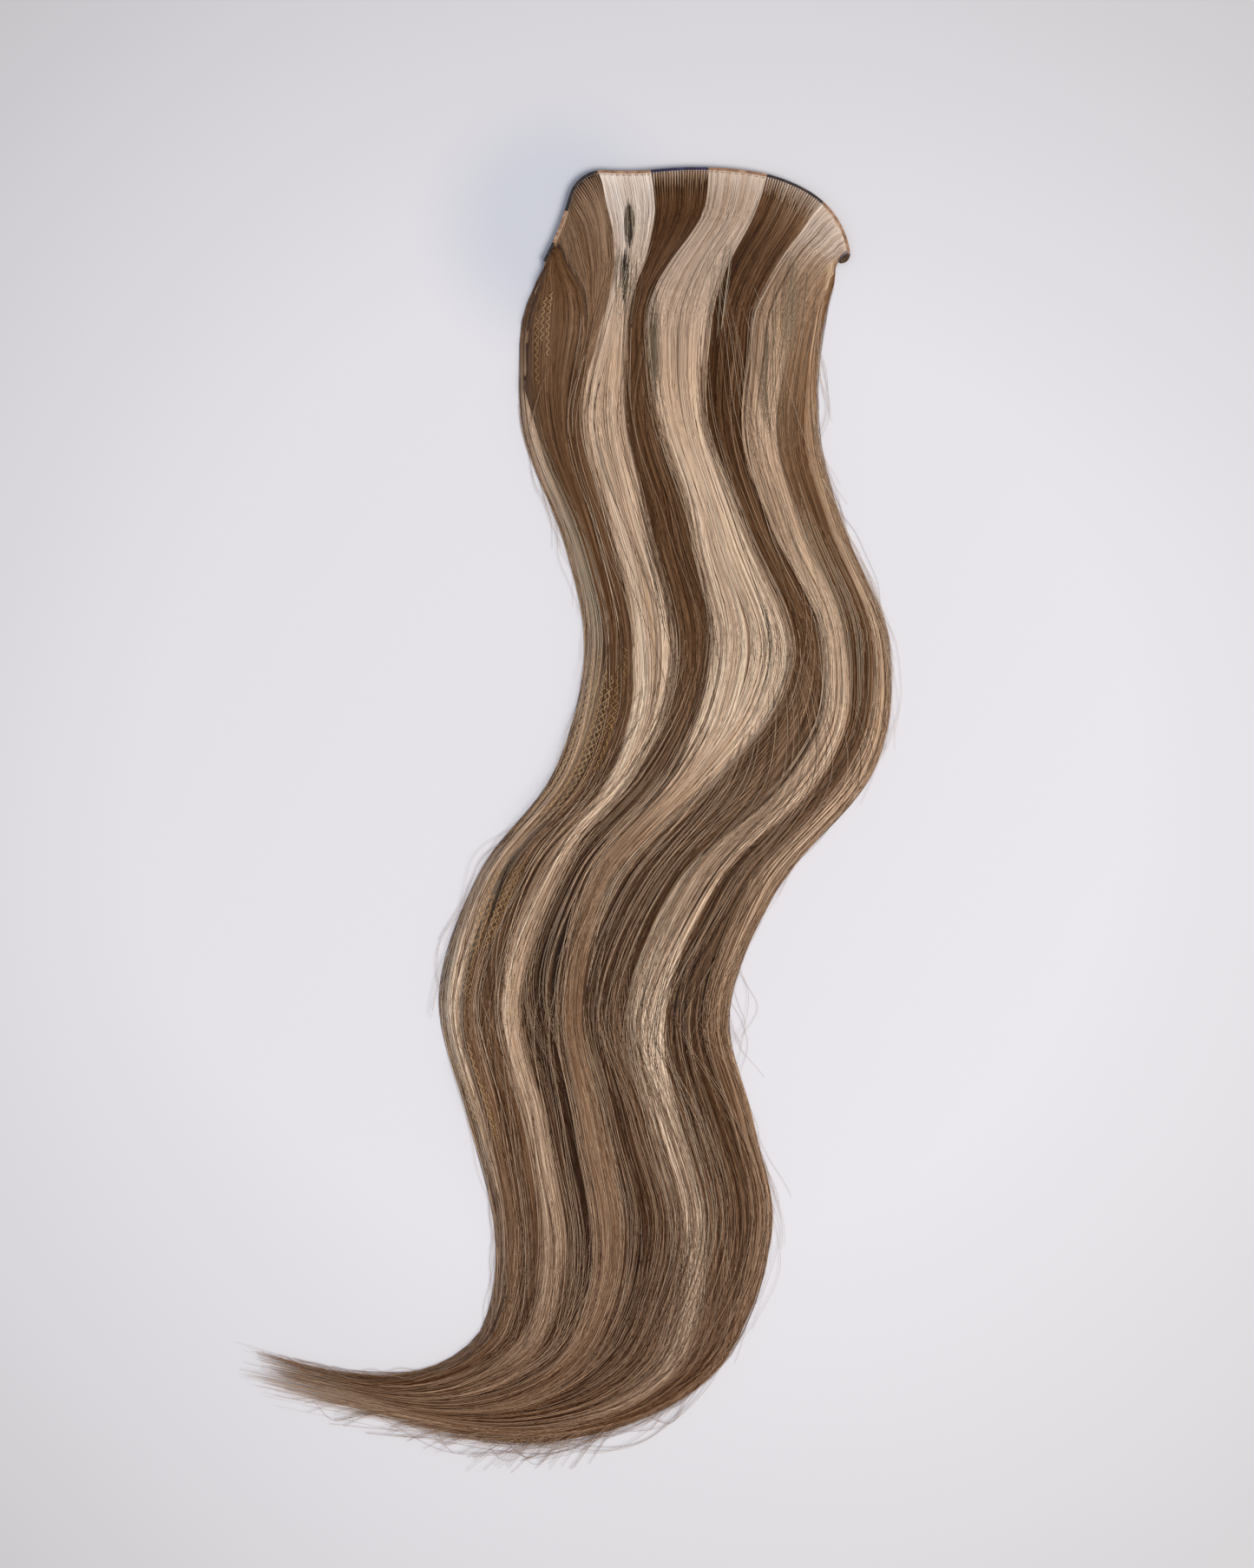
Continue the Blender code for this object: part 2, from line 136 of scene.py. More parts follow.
def thread_material(name, shade, colour, light):
    # Core-spun polyester: a soft satin with short fibres, so it has a low wide sheen and
    # no hard glint. Fibres are 0.02 mm: they are drawn 0.12 mm apart, or they wouldn't show.
    material, tree, shader = new_material(name, 0.55, **{
        "Sheen Weight": 0.25, "Sheen Roughness": 0.4, "Sheen Tint": linear(light),
        "Specular IOR Level": 0.35})
    place = add_node(tree, "ShaderNodeTexCoord")
    fibres = add_node(
        tree, "ShaderNodeTexNoise", dict(Scale=1 / 0.00012, Detail=2.0, Roughness=0.6),
        {"Vector": place.outputs["Object"]})
    turns = add_node(
        tree, "ShaderNodeTexNoise", dict(Scale=1 / 0.0016, Detail=1.0),
        {"Vector": place.outputs["Object"]})
    mixed = add_node(
        tree, "ShaderNodeMath", {1: 0.5}, {0: fibres.outputs["Fac"], 2: turns.outputs["Fac"]},
        operation="MULTIPLY_ADD")
    tone = add_node(
        tree, "ShaderNodeMapRange", {"From Min": 0.45, "From Max": 1.05},
        {"Value": mixed.outputs[0]})
    colours = add_ramp(tree, tone.outputs["Result"], (shade, colour, light))
    link_surface(tree, shader, colours, fibres.outputs["Fac"], 0.35, 0.00003)
    return material


thread_finishes = dict(
    dark=thread_material("dark_polyester_thread", "120d0e", "231b1b", "40312d"),
    tan=thread_material("tan_polyester_thread", "6b4c38", "8f6a50", "b5937a"),
    navy=thread_material("navy_polyester_thread", "100e20", "221e3c", "3c3862"),
    olive=thread_material("dark_polyester_thread_end", "1d140c", "45311f", "6b533b"),
)


def open_tree(name, inputs):
    # A tree of Geometry Nodes with a geometry input and these: it, their sockets and outputs
    tree = bpy.data.node_groups.new(name, "GeometryNodeTree")
    sockets = {}
    for label, kind in {"Geometry": "Geometry", **inputs}.items():
        item = tree.interface.new_socket(label, in_out="INPUT", socket_type="NodeSocket" + kind)
        sockets[label] = item.identifier
    tree.interface.new_socket("Geometry", in_out="OUTPUT", socket_type="NodeSocketGeometry")
    return tree, sockets, add_node(tree, "NodeGroupInput").outputs


def close_tree(tree, geometry, material):
    # The last nodes: the geometry is made real and smooth and gets its material
    real = add_node(tree, "GeometryNodeRealizeInstances", links={"Geometry": geometry})
    smooth = add_node(
        tree, "GeometryNodeSetShadeSmooth", links={"Geometry": real.outputs["Geometry"]})
    finish = add_node(
        tree, "GeometryNodeSetMaterial",
        links={"Geometry": smooth.outputs["Geometry"], "Material": material})
    add_node(tree, "NodeGroupOutput", links={"Geometry": finish.outputs["Geometry"]})


def ring_tree():
    # Geometry Nodes: rings of thread set along a line, leaning and a little uneven
    tree, sockets, given = open_tree("wound_thread", dict(
        Pitch="Float", Width="Float", Depth="Float", Corner="Float", Thickness="Float",
        Lean="Float", Seed="Int", Material="Material"))

    def uneven(low, high):
        return add_node(
            tree, "FunctionNodeRandomValue", {"Min": low, "Max": high},
            {"Seed": given["Seed"]}, data_type="FLOAT_VECTOR").outputs["Value"]

    line = add_node(tree, "GeometryNodeMeshToCurve", links={"Mesh": given["Geometry"]})
    points = add_node(
        tree, "GeometryNodeCurveToPoints",
        links={"Curve": line.outputs["Curve"], "Length": given["Pitch"]}, mode="LENGTH")
    frame_ring = add_node(
        tree, "GeometryNodeCurvePrimitiveQuadrilateral",
        links={"Width": given["Width"], "Height": given["Depth"]})
    rounded = add_node(
        tree, "GeometryNodeFilletCurve", {"Count": 3},
        {"Curve": frame_ring.outputs["Curve"], "Radius": given["Corner"]}, mode="POLY")
    half = add_node(
        tree, "ShaderNodeMath", {1: 0.5}, {0: given["Thickness"]}, operation="MULTIPLY")
    section = add_node(
        tree, "GeometryNodeCurvePrimitiveCircle", {"Resolution": 5}, {"Radius": half.outputs[0]})
    ring = add_node(
        tree, "GeometryNodeCurveToMesh",
        links={"Curve": rounded.outputs["Curve"], "Profile Curve": section.outputs["Curve"]})
    stood = add_node(
        tree, "GeometryNodeTransform", {"Rotation": (math.pi / 2, 0.0, math.pi / 2)},
        {"Geometry": ring.outputs["Mesh"]})
    along = add_node(
        tree, "FunctionNodeAlignRotationToVector", links={"Vector": points.outputs["Tangent"]},
        axis="X", pivot_axis="Z")
    leaning = add_node(tree, "ShaderNodeCombineXYZ", links={"Z": given["Lean"]})
    turned = add_node(
        tree, "ShaderNodeVectorMath",
        links={0: uneven((-0.03, -0.10, -0.10), (0.03, 0.10, 0.10)),
               1: leaning.outputs["Vector"]}, operation="ADD")
    to_rotation = add_node(
        tree, "FunctionNodeEulerToRotation", links={"Euler": turned.outputs["Vector"]})
    rotated = add_node(
        tree, "FunctionNodeRotateRotation",
        links={"Rotation": along.outputs["Rotation"],
               "Rotate By": to_rotation.outputs["Rotation"]}, rotation_space="LOCAL")
    rings = add_node(
        tree, "GeometryNodeInstanceOnPoints",
        links={"Points": points.outputs["Points"], "Instance": stood.outputs["Geometry"],
               "Rotation": rotated.outputs["Rotation"],
               "Scale": uneven((0.98, 0.96, 0.96), (1.02, 1.07, 1.05))})
    close_tree(tree, rings.outputs["Instances"], given["Material"])
    return tree, sockets


def grow(name, points, edges, tree, sockets, inputs, attributes=None):
    # A plain mesh piece grown by a tree from a mesh of lines
    mesh = bpy.data.meshes.new(name + "_lines")
    mesh.from_pydata(points, edges, [])
    for label, values in (attributes or {}).items():
        mesh.attributes.new(label, "FLOAT", "POINT").data.foreach_set(
            "value", np.asarray(values, np.float32).ravel())
    holder = bpy.data.objects.new(name + "_lines", mesh)
    bpy.context.scene.collection.objects.link(holder)
    modifier = holder.modifiers.new(name, "NODES")
    modifier.node_group = tree
    for label, value in inputs.items():
        modifier[sockets[label]] = value
    graph = bpy.context.evaluated_depsgraph_get()
    grown = bpy.data.meshes.new_from_object(holder.evaluated_get(graph), depsgraph=graph)
    holder.modifiers.remove(modifier)
    bpy.data.objects.remove(holder, do_unlink=True)
    bpy.data.meshes.remove(mesh)
    grown.name = name
    piece = bpy.data.objects.new(name, grown)
    bpy.context.scene.collection.objects.link(piece)
    return piece


def arc_step(x, y, heading, bend, length):
    # From a point and heading on along an arc of this bend: the next point and heading
    ahead = heading + bend * length
    x = x + (np.sin(ahead) - np.sin(heading)) / bend
    y = y - (np.cos(ahead) - np.cos(heading)) / bend
    return x, y, ahead


def band_arcs():
    # The band's line as arcs: where each starts, its length, point, heading and bend
    rows = []
    x = (BAND_START["across"] - 0.5) * LAID_WIDTH + CENTRE[0]
    y = (BAND_START["along"] - 0.5) * LAID_LENGTH + CENTRE[1]
    heading = math.radians(BAND_START["heading"])
    total = sum(arc["length"] for arc in BAND_ARCS)
    done = 0.0
    for arc in BAND_ARCS:
        length = arc["length"] / total * BAND_LENGTH
        bend = math.radians(arc["turn"]) / length
        rows.append((done, x, y, heading, bend))
        x, y, heading = arc_step(x, y, heading, bend, length)
        done += length
    return np.array(rows)


ARCS = band_arcs()


def band_at(share):
    # Points of the band's line and its heading there, at shares of its length
    distance = np.asarray(share, float) * BAND_LENGTH
    row = np.clip(np.searchsorted(ARCS[:, 0], distance, side="right") - 1, 0, len(ARCS) - 1)
    done, x, y, heading, bend = (ARCS[row, i] for i in range(5))
    x, y, heading = arc_step(x, y, heading, bend, distance - done)
    return np.stack([x, y], -1), heading


wound_thread, wound_sockets = ring_tree()
band_middle = BAND_DEPTH + PIECE_GAP + BAND_DEPTH / 2


def wind_thread(name, plan, height, thread, seed):
    # Turns of thread along a line: its plan points, and its height above the table
    line = np.column_stack([plan, height + np.zeros(len(plan))])
    edges = [(i, i + 1) for i in range(len(line) - 1)]
    inputs = {
        "Pitch": THREAD_PITCH, "Width": BAND_WIDTH - THREAD_THICKNESS + 2 * THREAD_PROUD,
        "Depth": BAND_DEPTH - THREAD_THICKNESS + 2 * THREAD_PROUD, "Corner": THREAD_CORNER,
        "Thickness": THREAD_THICKNESS, "Lean": math.radians(THREAD_LEAN), "Seed": seed,
        "Material": thread_finishes[thread]}
    piece = grow(name, line, edges, wound_thread, wound_sockets, inputs)
    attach(piece, "root")


def dress(node, material):
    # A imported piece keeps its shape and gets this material
    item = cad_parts[node]
    item.data.materials.clear()
    item.data.materials.append(material)


thread_total = sum(row["length"] for row in THREADS)
thread_start = 0.0
for index, row in enumerate(THREADS):
    thread_end = thread_start + row["length"] / thread_total
    share = np.linspace(thread_start + THREAD_INSET, thread_end - THREAD_INSET, THREAD_POINTS)
    wind_thread(
        "turns_" + row["node"].removeprefix("band_"), band_at(share)[0], band_middle,
        row["thread"], index + 1)
    dress(row["node"], thread_finishes[row["thread"]])
    thread_start = thread_end


# Fold at the band's right end.
# The band turns back under itself there and goes down to the back row. It is the same wound
# thread, its dark brown worn to olive, looser, and its end is wound across inside the fold.

fold_point, fold_heading = band_at(1.0)
fold_bend = math.radians(FOLD_TURN) / FOLD_LENGTH
# The threads inside the fold go straight across it, between these shares of its length
FOLD_FILLS = ((0.0, 1.0), (0.16, 0.84))


def fold_at(share):
    # Plan points at shares of the fold's length
    x, y, _ = arc_step(
        *fold_point, fold_heading, fold_bend, PIECE_GAP / 2 + FOLD_LENGTH * share)
    return np.stack([x, y], -1)


fold_share = np.linspace(0.04, 0.97, 16)
fold_sink = (BAND_DEPTH + PIECE_GAP) * fold_share ** 2 * (3 - 2 * fold_share)
wind_thread("turns_fold", fold_at(fold_share), band_middle - fold_sink, "olive", 21)
dress("band_fold", thread_finishes["olive"])
for index, share in enumerate(FOLD_FILLS):
    near, far = fold_at(np.array(share))
    fill = near + (far - near) * np.linspace(0.05, 0.95, 10)[:, None]
    wind_thread("turns_end_%d" % (index + 1), fill, band_middle, "olive", 22 + index)


# Band of the back row.
# A second band of the same dark thread lies beneath the roots of the front row. The hair
# hides it, so it stays plain wound thread.

dress("band_under", thread_finishes["dark"])


# Back row of hair.
# Brown human hair sewn to the hidden band, lying flat beneath the locks. It is a plain body of
# hair: it shows only in the gaps between them. The way all the hair lies is set out here.

HAIR_WIDTH = 0.1075
HAIR_DEPTH = 0.0072
UNDER_SHARE = 0.34
UNDER_END = 0.90
UNDER_INSET = 0.0036
UNDER_TIP = 0.075
UNDER_ROWS = 110
UNDER_ACROSS = 20
EDGE_SHARE = 0.42
EDGE_ROUND = 0.0045
LEFT_TRIM = 0.037
RIGHT_TRIM = 0.019
SECTIONS = [
    dict(down=0.097, along=0.879, across=0.659, lean=1.0, width=1.012, depth=0.74),
    dict(down=0.163, along=0.799, across=0.651, lean=0.7, width=0.963, depth=0.86),
    dict(down=0.234, along=0.714, across=0.703, lean=4.4, width=0.895, depth=0.95),
    dict(down=0.312, along=0.622, across=0.756, lean=2.2, width=0.981, depth=1.00),
    dict(down=0.391, along=0.527, across=0.721, lean=0.6, width=1.032, depth=1.00),
    dict(down=0.479, along=0.442, across=0.589, lean=-2.7, width=0.964, depth=0.98),
    dict(down=0.564, along=0.344, across=0.518, lean=-2.6, width=0.936, depth=0.95),
    dict(down=0.643, along=0.250, across=0.561, lean=0.5, width=0.912, depth=0.92),
    dict(down=0.713, along=0.165, across=0.595, lean=0.9, width=0.890, depth=0.88),
    dict(down=0.784, along=0.081, across=0.553, lean=-6.6, width=0.795, depth=0.84),
    dict(down=0.824, along=0.047, across=0.478, lean=-12.3, width=0.721, depth=0.76),
    dict(down=0.871, along=0.030, across=0.370, lean=-18.3, width=0.608, depth=0.64),
    dict(down=0.917, along=0.030, across=0.255, lean=-23.1, width=0.500, depth=0.50),
    dict(down=1.000, along=0.054, across=0.040, lean=-33.0, width=0.270, depth=0.30),
]
# Where the locks part, a row per station down the hair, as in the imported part; but on the left
# near the band, where dark hair lies over light brown, the loose hair parts a little otherwise
EDGE_NAMES = ("down", "l2", "r2", "l1", "r1", "l3", "r3", "r4", "r5", "r6", "r7", "r8")
EDGE_ROWS = np.array([
    (0.000, 0.051, 0.138, 0.000, 0.051, 0.060, 0.273, 0.406, 0.550, 0.698, 0.855, 0.962),
    (0.012, 0.048, 0.130, 0.000, 0.056, 0.064, 0.288, 0.410, 0.550, 0.697, 0.854, 0.965),
    (0.025, 0.040, 0.125, 0.000, 0.080, 0.074, 0.300, 0.414, 0.547, 0.691, 0.851, 0.980),
    (0.040, 0.025, 0.115, 0.000, 0.107, 0.090, 0.308, 0.406, 0.517, 0.676, 0.837, 0.992),
    (0.058, 0.010, 0.100, 0.000, 0.148, 0.120, 0.308, 0.390, 0.465, 0.650, 0.810, 1.000),
    (0.078, 0.000, 0.080, 0.000, 0.196, 0.162, 0.286, 0.360, 0.420, 0.632, 0.780, 1.000),
    (0.097, 0.000, 0.080, 0.000, 0.212, 0.192, 0.260, 0.345, 0.405, 0.620, 0.755, 1.000),
    (0.130, 0.000, 0.085, 0.010, 0.190, 0.190, 0.232, 0.355, 0.430, 0.620, 0.762, 1.000),
    (0.163, 0.000, 0.105, 0.042, 0.160, 0.160, 0.210, 0.365, 0.460, 0.625, 0.754, 1.000),
    (0.198, 0.000, 0.110, 0.050, 0.136, 0.136, 0.190, 0.345, 0.474, 0.640, 0.744, 1.000),
    (0.234, 0.000, 0.110, 0.050, 0.115, 0.115, 0.162, 0.315, 0.455, 0.652, 0.750, 1.000),
    (0.312, 0.000, 0.115, 0.055, 0.108, 0.108, 0.155, 0.295, 0.410, 0.680, 0.795, 1.000),
    (0.350, 0.000, 0.135, 0.080, 0.125, 0.125, 0.168, 0.280, 0.385, 0.640, 0.790, 1.000),
    (0.391, 0.000, 0.140, 0.085, 0.127, 0.127, 0.168, 0.252, 0.360, 0.535, 0.745, 1.000),
    (0.435, 0.000, 0.145, 0.090, 0.134, 0.134, 0.177, 0.240, 0.342, 0.475, 0.700, 1.000),
    (0.479, 0.000, 0.145, 0.092, 0.145, 0.145, 0.200, 0.270, 0.355, 0.460, 0.665, 1.000),
    (0.564, 0.000, 0.120, 0.082, 0.130, 0.130, 0.200, 0.280, 0.425, 0.500, 0.655, 1.000),
    (0.643, 0.000, 0.110, 0.068, 0.115, 0.115, 0.200, 0.265, 0.385, 0.490, 0.630, 1.000),
    (0.713, 0.000, 0.085, 0.045, 0.095, 0.095, 0.165, 0.260, 0.360, 0.480, 0.645, 1.000),
    (0.784, 0.000, 0.085, 0.030, 0.100, 0.100, 0.165, 0.258, 0.365, 0.490, 0.710, 1.000),
    (0.871, 0.000, 0.090, 0.035, 0.125, 0.125, 0.230, 0.345, 0.470, 0.610, 0.780, 1.000),
    (1.000, 0.000, 0.110, 0.040, 0.170, 0.170, 0.310, 0.450, 0.600, 0.740, 0.870, 1.000),
])


def ramp(where, reach):
    # A soft step from 0 to 1 over this reach
    t = np.clip(np.asarray(where) / reach, 0.0, 1.0)
    return t * t * (3 - 2 * t)


def curve_through(knots, values, rates, where):
    # A curve through a table's values, straight on past its ends
    values = np.asarray(values)
    rates = np.asarray(rates)
    where = np.asarray(where, float)
    held = np.clip(where, knots[0], knots[-1])
    i = np.clip(np.searchsorted(knots, held, side="right") - 1, 0, len(knots) - 2)
    step = knots[i + 1] - knots[i]
    t = (held - knots[i]) / step
    past = where - held
    if values.ndim == 2:
        step, t, past = step[..., None], t[..., None], past[..., None]
    start = (2 * t - 3) * t * t + 1
    lead = ((t - 2) * t + 1) * t * step
    finish = (3 - 2 * t) * t * t
    trail = (t - 1) * t * t * step
    inside = start * values[i] + lead * rates[i] + finish * values[i + 1] + trail * rates[i + 1]
    return inside + past * np.where(past > 0, rates[-1], rates[0])


def even_rates(knots, values):
    # Slopes of a curve that never swings past its values
    steps = np.diff(knots)
    rates = np.diff(values) / steps
    result = np.zeros(len(values))
    for i in range(1, len(values) - 1):
        if rates[i - 1] * rates[i] > 0:
            first = 2 * steps[i] + steps[i - 1]
            second = steps[i] + 2 * steps[i - 1]
            result[i] = (first + second) / (first / rates[i - 1] + second / rates[i])
    result[0] = rates[0]
    result[-1] = rates[-1]
    return result


def round_rates(knots, values):
    # Slopes of a rounder curve through its values
    result = np.zeros(values.shape)
    result[1:-1] = (values[2:] - values[:-2]) / (knots[2:] - knots[:-2])[:, None]
    result[0] = (values[1] - values[0]) / (knots[1] - knots[0])
    result[-1] = (values[-1] - values[-2]) / (knots[-1] - knots[-2])
    return result


section_down = np.array([row["down"] for row in SECTIONS])
section_middle = np.array(
    [((row["across"] - 0.5) * LAID_WIDTH, (row["along"] - 0.5) * LAID_LENGTH) for row in SECTIONS])
section_lean = np.radians([row["lean"] for row in SECTIONS])
section_half = np.array([row["width"] for row in SECTIONS])[:, None] * HAIR_WIDTH / 2 * np.stack(
    [np.cos(section_lean), np.sin(section_lean)], 1)
section_left = section_middle + CENTRE - section_half
section_right = section_middle + CENTRE + section_half
left_rates = round_rates(section_down, section_left)
right_rates = round_rates(section_down, section_right)
section_depth = np.array([row["depth"] for row in SECTIONS]) * HAIR_DEPTH
depth_rates = even_rates(section_down, section_depth)
lock_edges = {name: (EDGE_ROWS[:, i], even_rates(EDGE_ROWS[:, 0], EDGE_ROWS[:, i]))
              for i, name in enumerate(EDGE_NAMES) if i}
ROOT_REACH = section_down[0]


def edge_at(name, down):
    # Where one of the partings runs across the hair
    return curve_through(EDGE_ROWS[:, 0], *lock_edges[name], down)


def hair_place(down, share, inset=0.0):
    # The plan point at a share down the hair and a share across it. Near the band its loose
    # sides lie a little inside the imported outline.
    down, share = np.broadcast_arrays(np.asarray(down, float), np.asarray(share, float))
    left_trim = LEFT_TRIM * ramp(down, 0.035) * (1 - ramp(down - 0.060, 0.05))
    right_trim = RIGHT_TRIM * ramp(down - 0.060, 0.04) * (1 - ramp(down - 0.115, 0.05))
    share = share + left_trim * np.clip(1 - share / 0.25, 0.0, 1.0) \
        - right_trim * np.clip((share - 0.75) / 0.25, 0.0, 1.0)
    s = share[..., None]
    lower = np.maximum(down, ROOT_REACH)
    below = curve_through(section_down, section_left, left_rates, lower) * (1 - s) \
        + curve_through(section_down, section_right, right_rates, lower) * s
    line, heading = band_at(np.clip(share, 0.0, 1.0))
    side = np.stack([np.sin(heading), -np.cos(heading)], -1)
    root = line + side * (BAND_WIDTH / 2 + PIECE_GAP + inset)
    first = section_left[0] * (1 - s) + section_right[0] * s
    rate = left_rates[0] * (1 - s) + right_rates[0] * s
    reach = np.linalg.norm(first - root, axis=-1, keepdims=True)
    square = ramp(s - 0.15, 0.15) * (1 - 0.5 * ramp(s - 0.85, 0.12))
    lead = side * reach * square + (first - root) * (1 - square)
    t = (np.minimum(down, ROOT_REACH) / ROOT_REACH)[..., None]
    above = ((2 * t - 3) * t * t + 1) * root + ((t - 2) * t + 1) * t * lead \
        + (3 - 2 * t) * t * t * first + (t - 1) * t * t * rate * ROOT_REACH
    return np.where((down < ROOT_REACH)[..., None], above, below)


def hair_width(down):
    return np.linalg.norm(hair_place(down, 1.0) - hair_place(down, 0.0), axis=-1)


def hair_depth(down):
    # The height of the hair's middle above the table
    start = 2 * BAND_DEPTH + PIECE_GAP
    above = start + (section_depth[0] - start) * ramp(down, ROOT_REACH)
    below = curve_through(section_down, section_depth, depth_rates, np.maximum(down, ROOT_REACH))
    return np.where(np.asarray(down) < ROOT_REACH, above, below)


def under_top(down):
    # The height of the back row's hair
    full = UNDER_SHARE * hair_depth(np.maximum(down, ROOT_REACH))
    return BAND_DEPTH + (full - BAND_DEPTH) * ramp(down, ROOT_REACH)


def hair_top(down, share, rise):
    # The top of the hair: lower at its two long edges, and round over them
    side = np.minimum(np.abs(2 * share - 1), 1.0)
    fall = 1 - (1 - EDGE_SHARE) * side ** 5 * ramp(down, 0.05)
    away = np.minimum(share, 1 - share) * hair_width(down)
    corner = 1 - (1 - np.clip(away / EDGE_ROUND, 0.0, 1.0)) ** 2.4
    corner = 1 - (1 - corner) * ramp(down - 0.02, 0.05)
    return hair_depth(down) * fall * corner * (1 + (rise - 1) * ramp(down, 0.1))


def hair_body(name, plan, top, floor):
    # A closed body of hair from rows of points: its plan, the heights of its top and of its floor.
    # Its UV map runs round it and along it, for the streaks.
    rows, across = top.shape
    upper = np.concatenate([plan, top[..., None]], -1)
    lower = np.concatenate([plan, np.minimum(floor, top - 0.0001)[..., None]], -1)[:, ::-1]
    points = np.concatenate([upper, lower], 1)
    count = 2 * across
    i, j = np.meshgrid(np.arange(rows - 1), np.arange(count), indexing="ij")
    k = (j + 1) % count
    faces = np.stack([i * count + j, i * count + k, (i + 1) * count + k, (i + 1) * count + j], -1)
    u = np.stack([j, j + 1, j + 1, j], -1) / count
    v = np.stack([i, i, i + 1, i + 1], -1) / (rows - 1)
    c = np.arange(across - 1)
    cap = np.stack([c + 1, c, count - 1 - c, count - 2 - c], -1)
    last = (rows - 1) * count
    faces = np.concatenate([faces.reshape(-1, 4), cap, last + cap[:, ::-1]])
    cap_u = np.stack([c + 1, c, c, c + 1], -1) / count
    cap_v = np.full(cap_u.shape, 0.002) * np.array([1, 1, 0, 0])
    u = np.concatenate([u.reshape(-1, 4), cap_u, cap_u[:, ::-1]])
    v = np.concatenate([v.reshape(-1, 4), cap_v, 1 - cap_v])
    mesh = bpy.data.meshes.new(name)
    mesh.from_pydata(points.reshape(-1, 3), [], faces.tolist())
    uv = mesh.uv_layers.new(name="OFBake")
    uv.data.foreach_set("uv", np.stack([u, v], -1).astype(np.float32).ravel())
    mesh.polygons.foreach_set("use_smooth", np.ones(len(mesh.polygons), bool))
    piece = bpy.data.objects.new(name, mesh)
    bpy.context.scene.collection.objects.link(piece)
    return piece


def body_material(name, shade, colour, light, across_mm):
    # Human hair packed close: a soft dark mass of streaks that run its whole length.
    # A hair is 0.08 mm: the streaks are drawn 0.5 mm wide, or they wouldn't show.
    material, tree, shader = new_material(name, 0.6, **{"Specular IOR Level": 0.3})
    place = add_node(tree, "ShaderNodeUVMap", uv_map="OFBake")
    spread = add_node(
        tree, "ShaderNodeMapping", {"Scale": (2 * across_mm / 0.5, 14.0, 1.0)},
        {"Vector": place.outputs["UV"]})
    streaks = add_node(
        tree, "ShaderNodeTexNoise", dict(Scale=1.0, Detail=3.0, Roughness=0.65),
        {"Vector": spread.outputs["Vector"]})
    tone = add_node(
        tree, "ShaderNodeMapRange", {"From Min": 0.3, "From Max": 0.7},
        {"Value": streaks.outputs["Fac"]})
    colours = add_ramp(tree, tone.outputs["Result"], (shade, colour, light))
    link_surface(tree, shader, colours, streaks.outputs["Fac"], 0.5, 0.0002)
    return material


under_down = np.linspace(0.0, UNDER_END, UNDER_ROWS)[:, None]
under_tip = ramp(under_down - UNDER_END + UNDER_TIP, UNDER_TIP)
under_side = UNDER_INSET / hair_width(under_down) + 0.03 * (1 - ramp(under_down, 0.05)) \
    + 0.35 * under_tip
under_share = under_side + (1 - 2 * under_side) * np.linspace(0.0, 1.0, UNDER_ACROSS)
under_heights = under_top(under_down) * (1 - 0.65 * under_tip) \
    * (1 - 0.06 * np.sin(under_share * 150 + 9 * np.sin(under_down * 20)) ** 2)
under_hair = hair_body(
    "hair_back_row", hair_place(under_down, under_share, BAND_WIDTH * 1.5 + PIECE_GAP),
    under_heights, np.zeros(under_heights.shape))
under_hair.data.materials.append(
    body_material("brown_hair_back_row", "1e1209", "382414", "56402c", 100))
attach(under_hair, "root")
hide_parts("lock_under")


# Bodies of the eight locks.
# Each stripe of human hair, brown or bleached blonde, lies packed close from the band to its
# tips. Its body is the mass beneath its loose strands, with shallow grooves along it, and its
# colours are darker than the strands': painted shade in the depth of the hair, seen in the gaps.

LOCKS = [
    dict(name="brown_1", left="l1", right="r1", end=1.000, rise=1.03, layer="over"),
    dict(name="blonde_2", left="l2", right="r2", end=0.980, rise=0.50, layer="tuck"),
    dict(name="brown_3", left="l3", right="r3", end=1.000, rise=0.96, layer="over"),
    dict(name="blonde_4", left="r3", right="r4", end=1.000, rise=1.02, layer="row"),
    dict(name="brown_5", left="r4", right="r5", end=0.980, rise=0.95, layer="row"),
    dict(name="blonde_6", left="r5", right="r6", end=0.980, rise=1.04, layer="row"),
    dict(name="brown_7", left="r6", right="r7", end=0.955, rise=0.96, layer="row"),
    dict(name="blonde_8", left="r7", right="r8", end=0.955, rise=1.00, layer="row"),
]
LOCK_CROWN = 0.0008
TUCK_DEPTH = 0.0006
BODY_ROWS = 130
BODY_DROP = 0.0007
BODY_GAP = 0.00015
GROOVE_DEPTH = 0.00012
# At the hair's two long edges a body stays this far in, and its rim of OUTER_RIM hangs down
OUTER_INSET = 0.0014
OUTER_RIM = 0.0022
# Darker than the strands' own colours: painted shade in the depth of the hair
BODY_TONES_WITH_PAINTED_SHADE = dict(
    brown=("2a180c", "482f1c", "664b36"),
    blonde=("7a5f47", "ab8d70", "ccb092"),
)


def lock_floor(lock, down):
    # The height of a lock's underside
    floor = (under_top(down) + PIECE_GAP) * (1 - ramp(down - UNDER_END, 0.05))
    if lock["layer"] == "over":
        floor = floor + (TUCK_DEPTH + PIECE_GAP) * ramp(down, 0.010)
    return floor


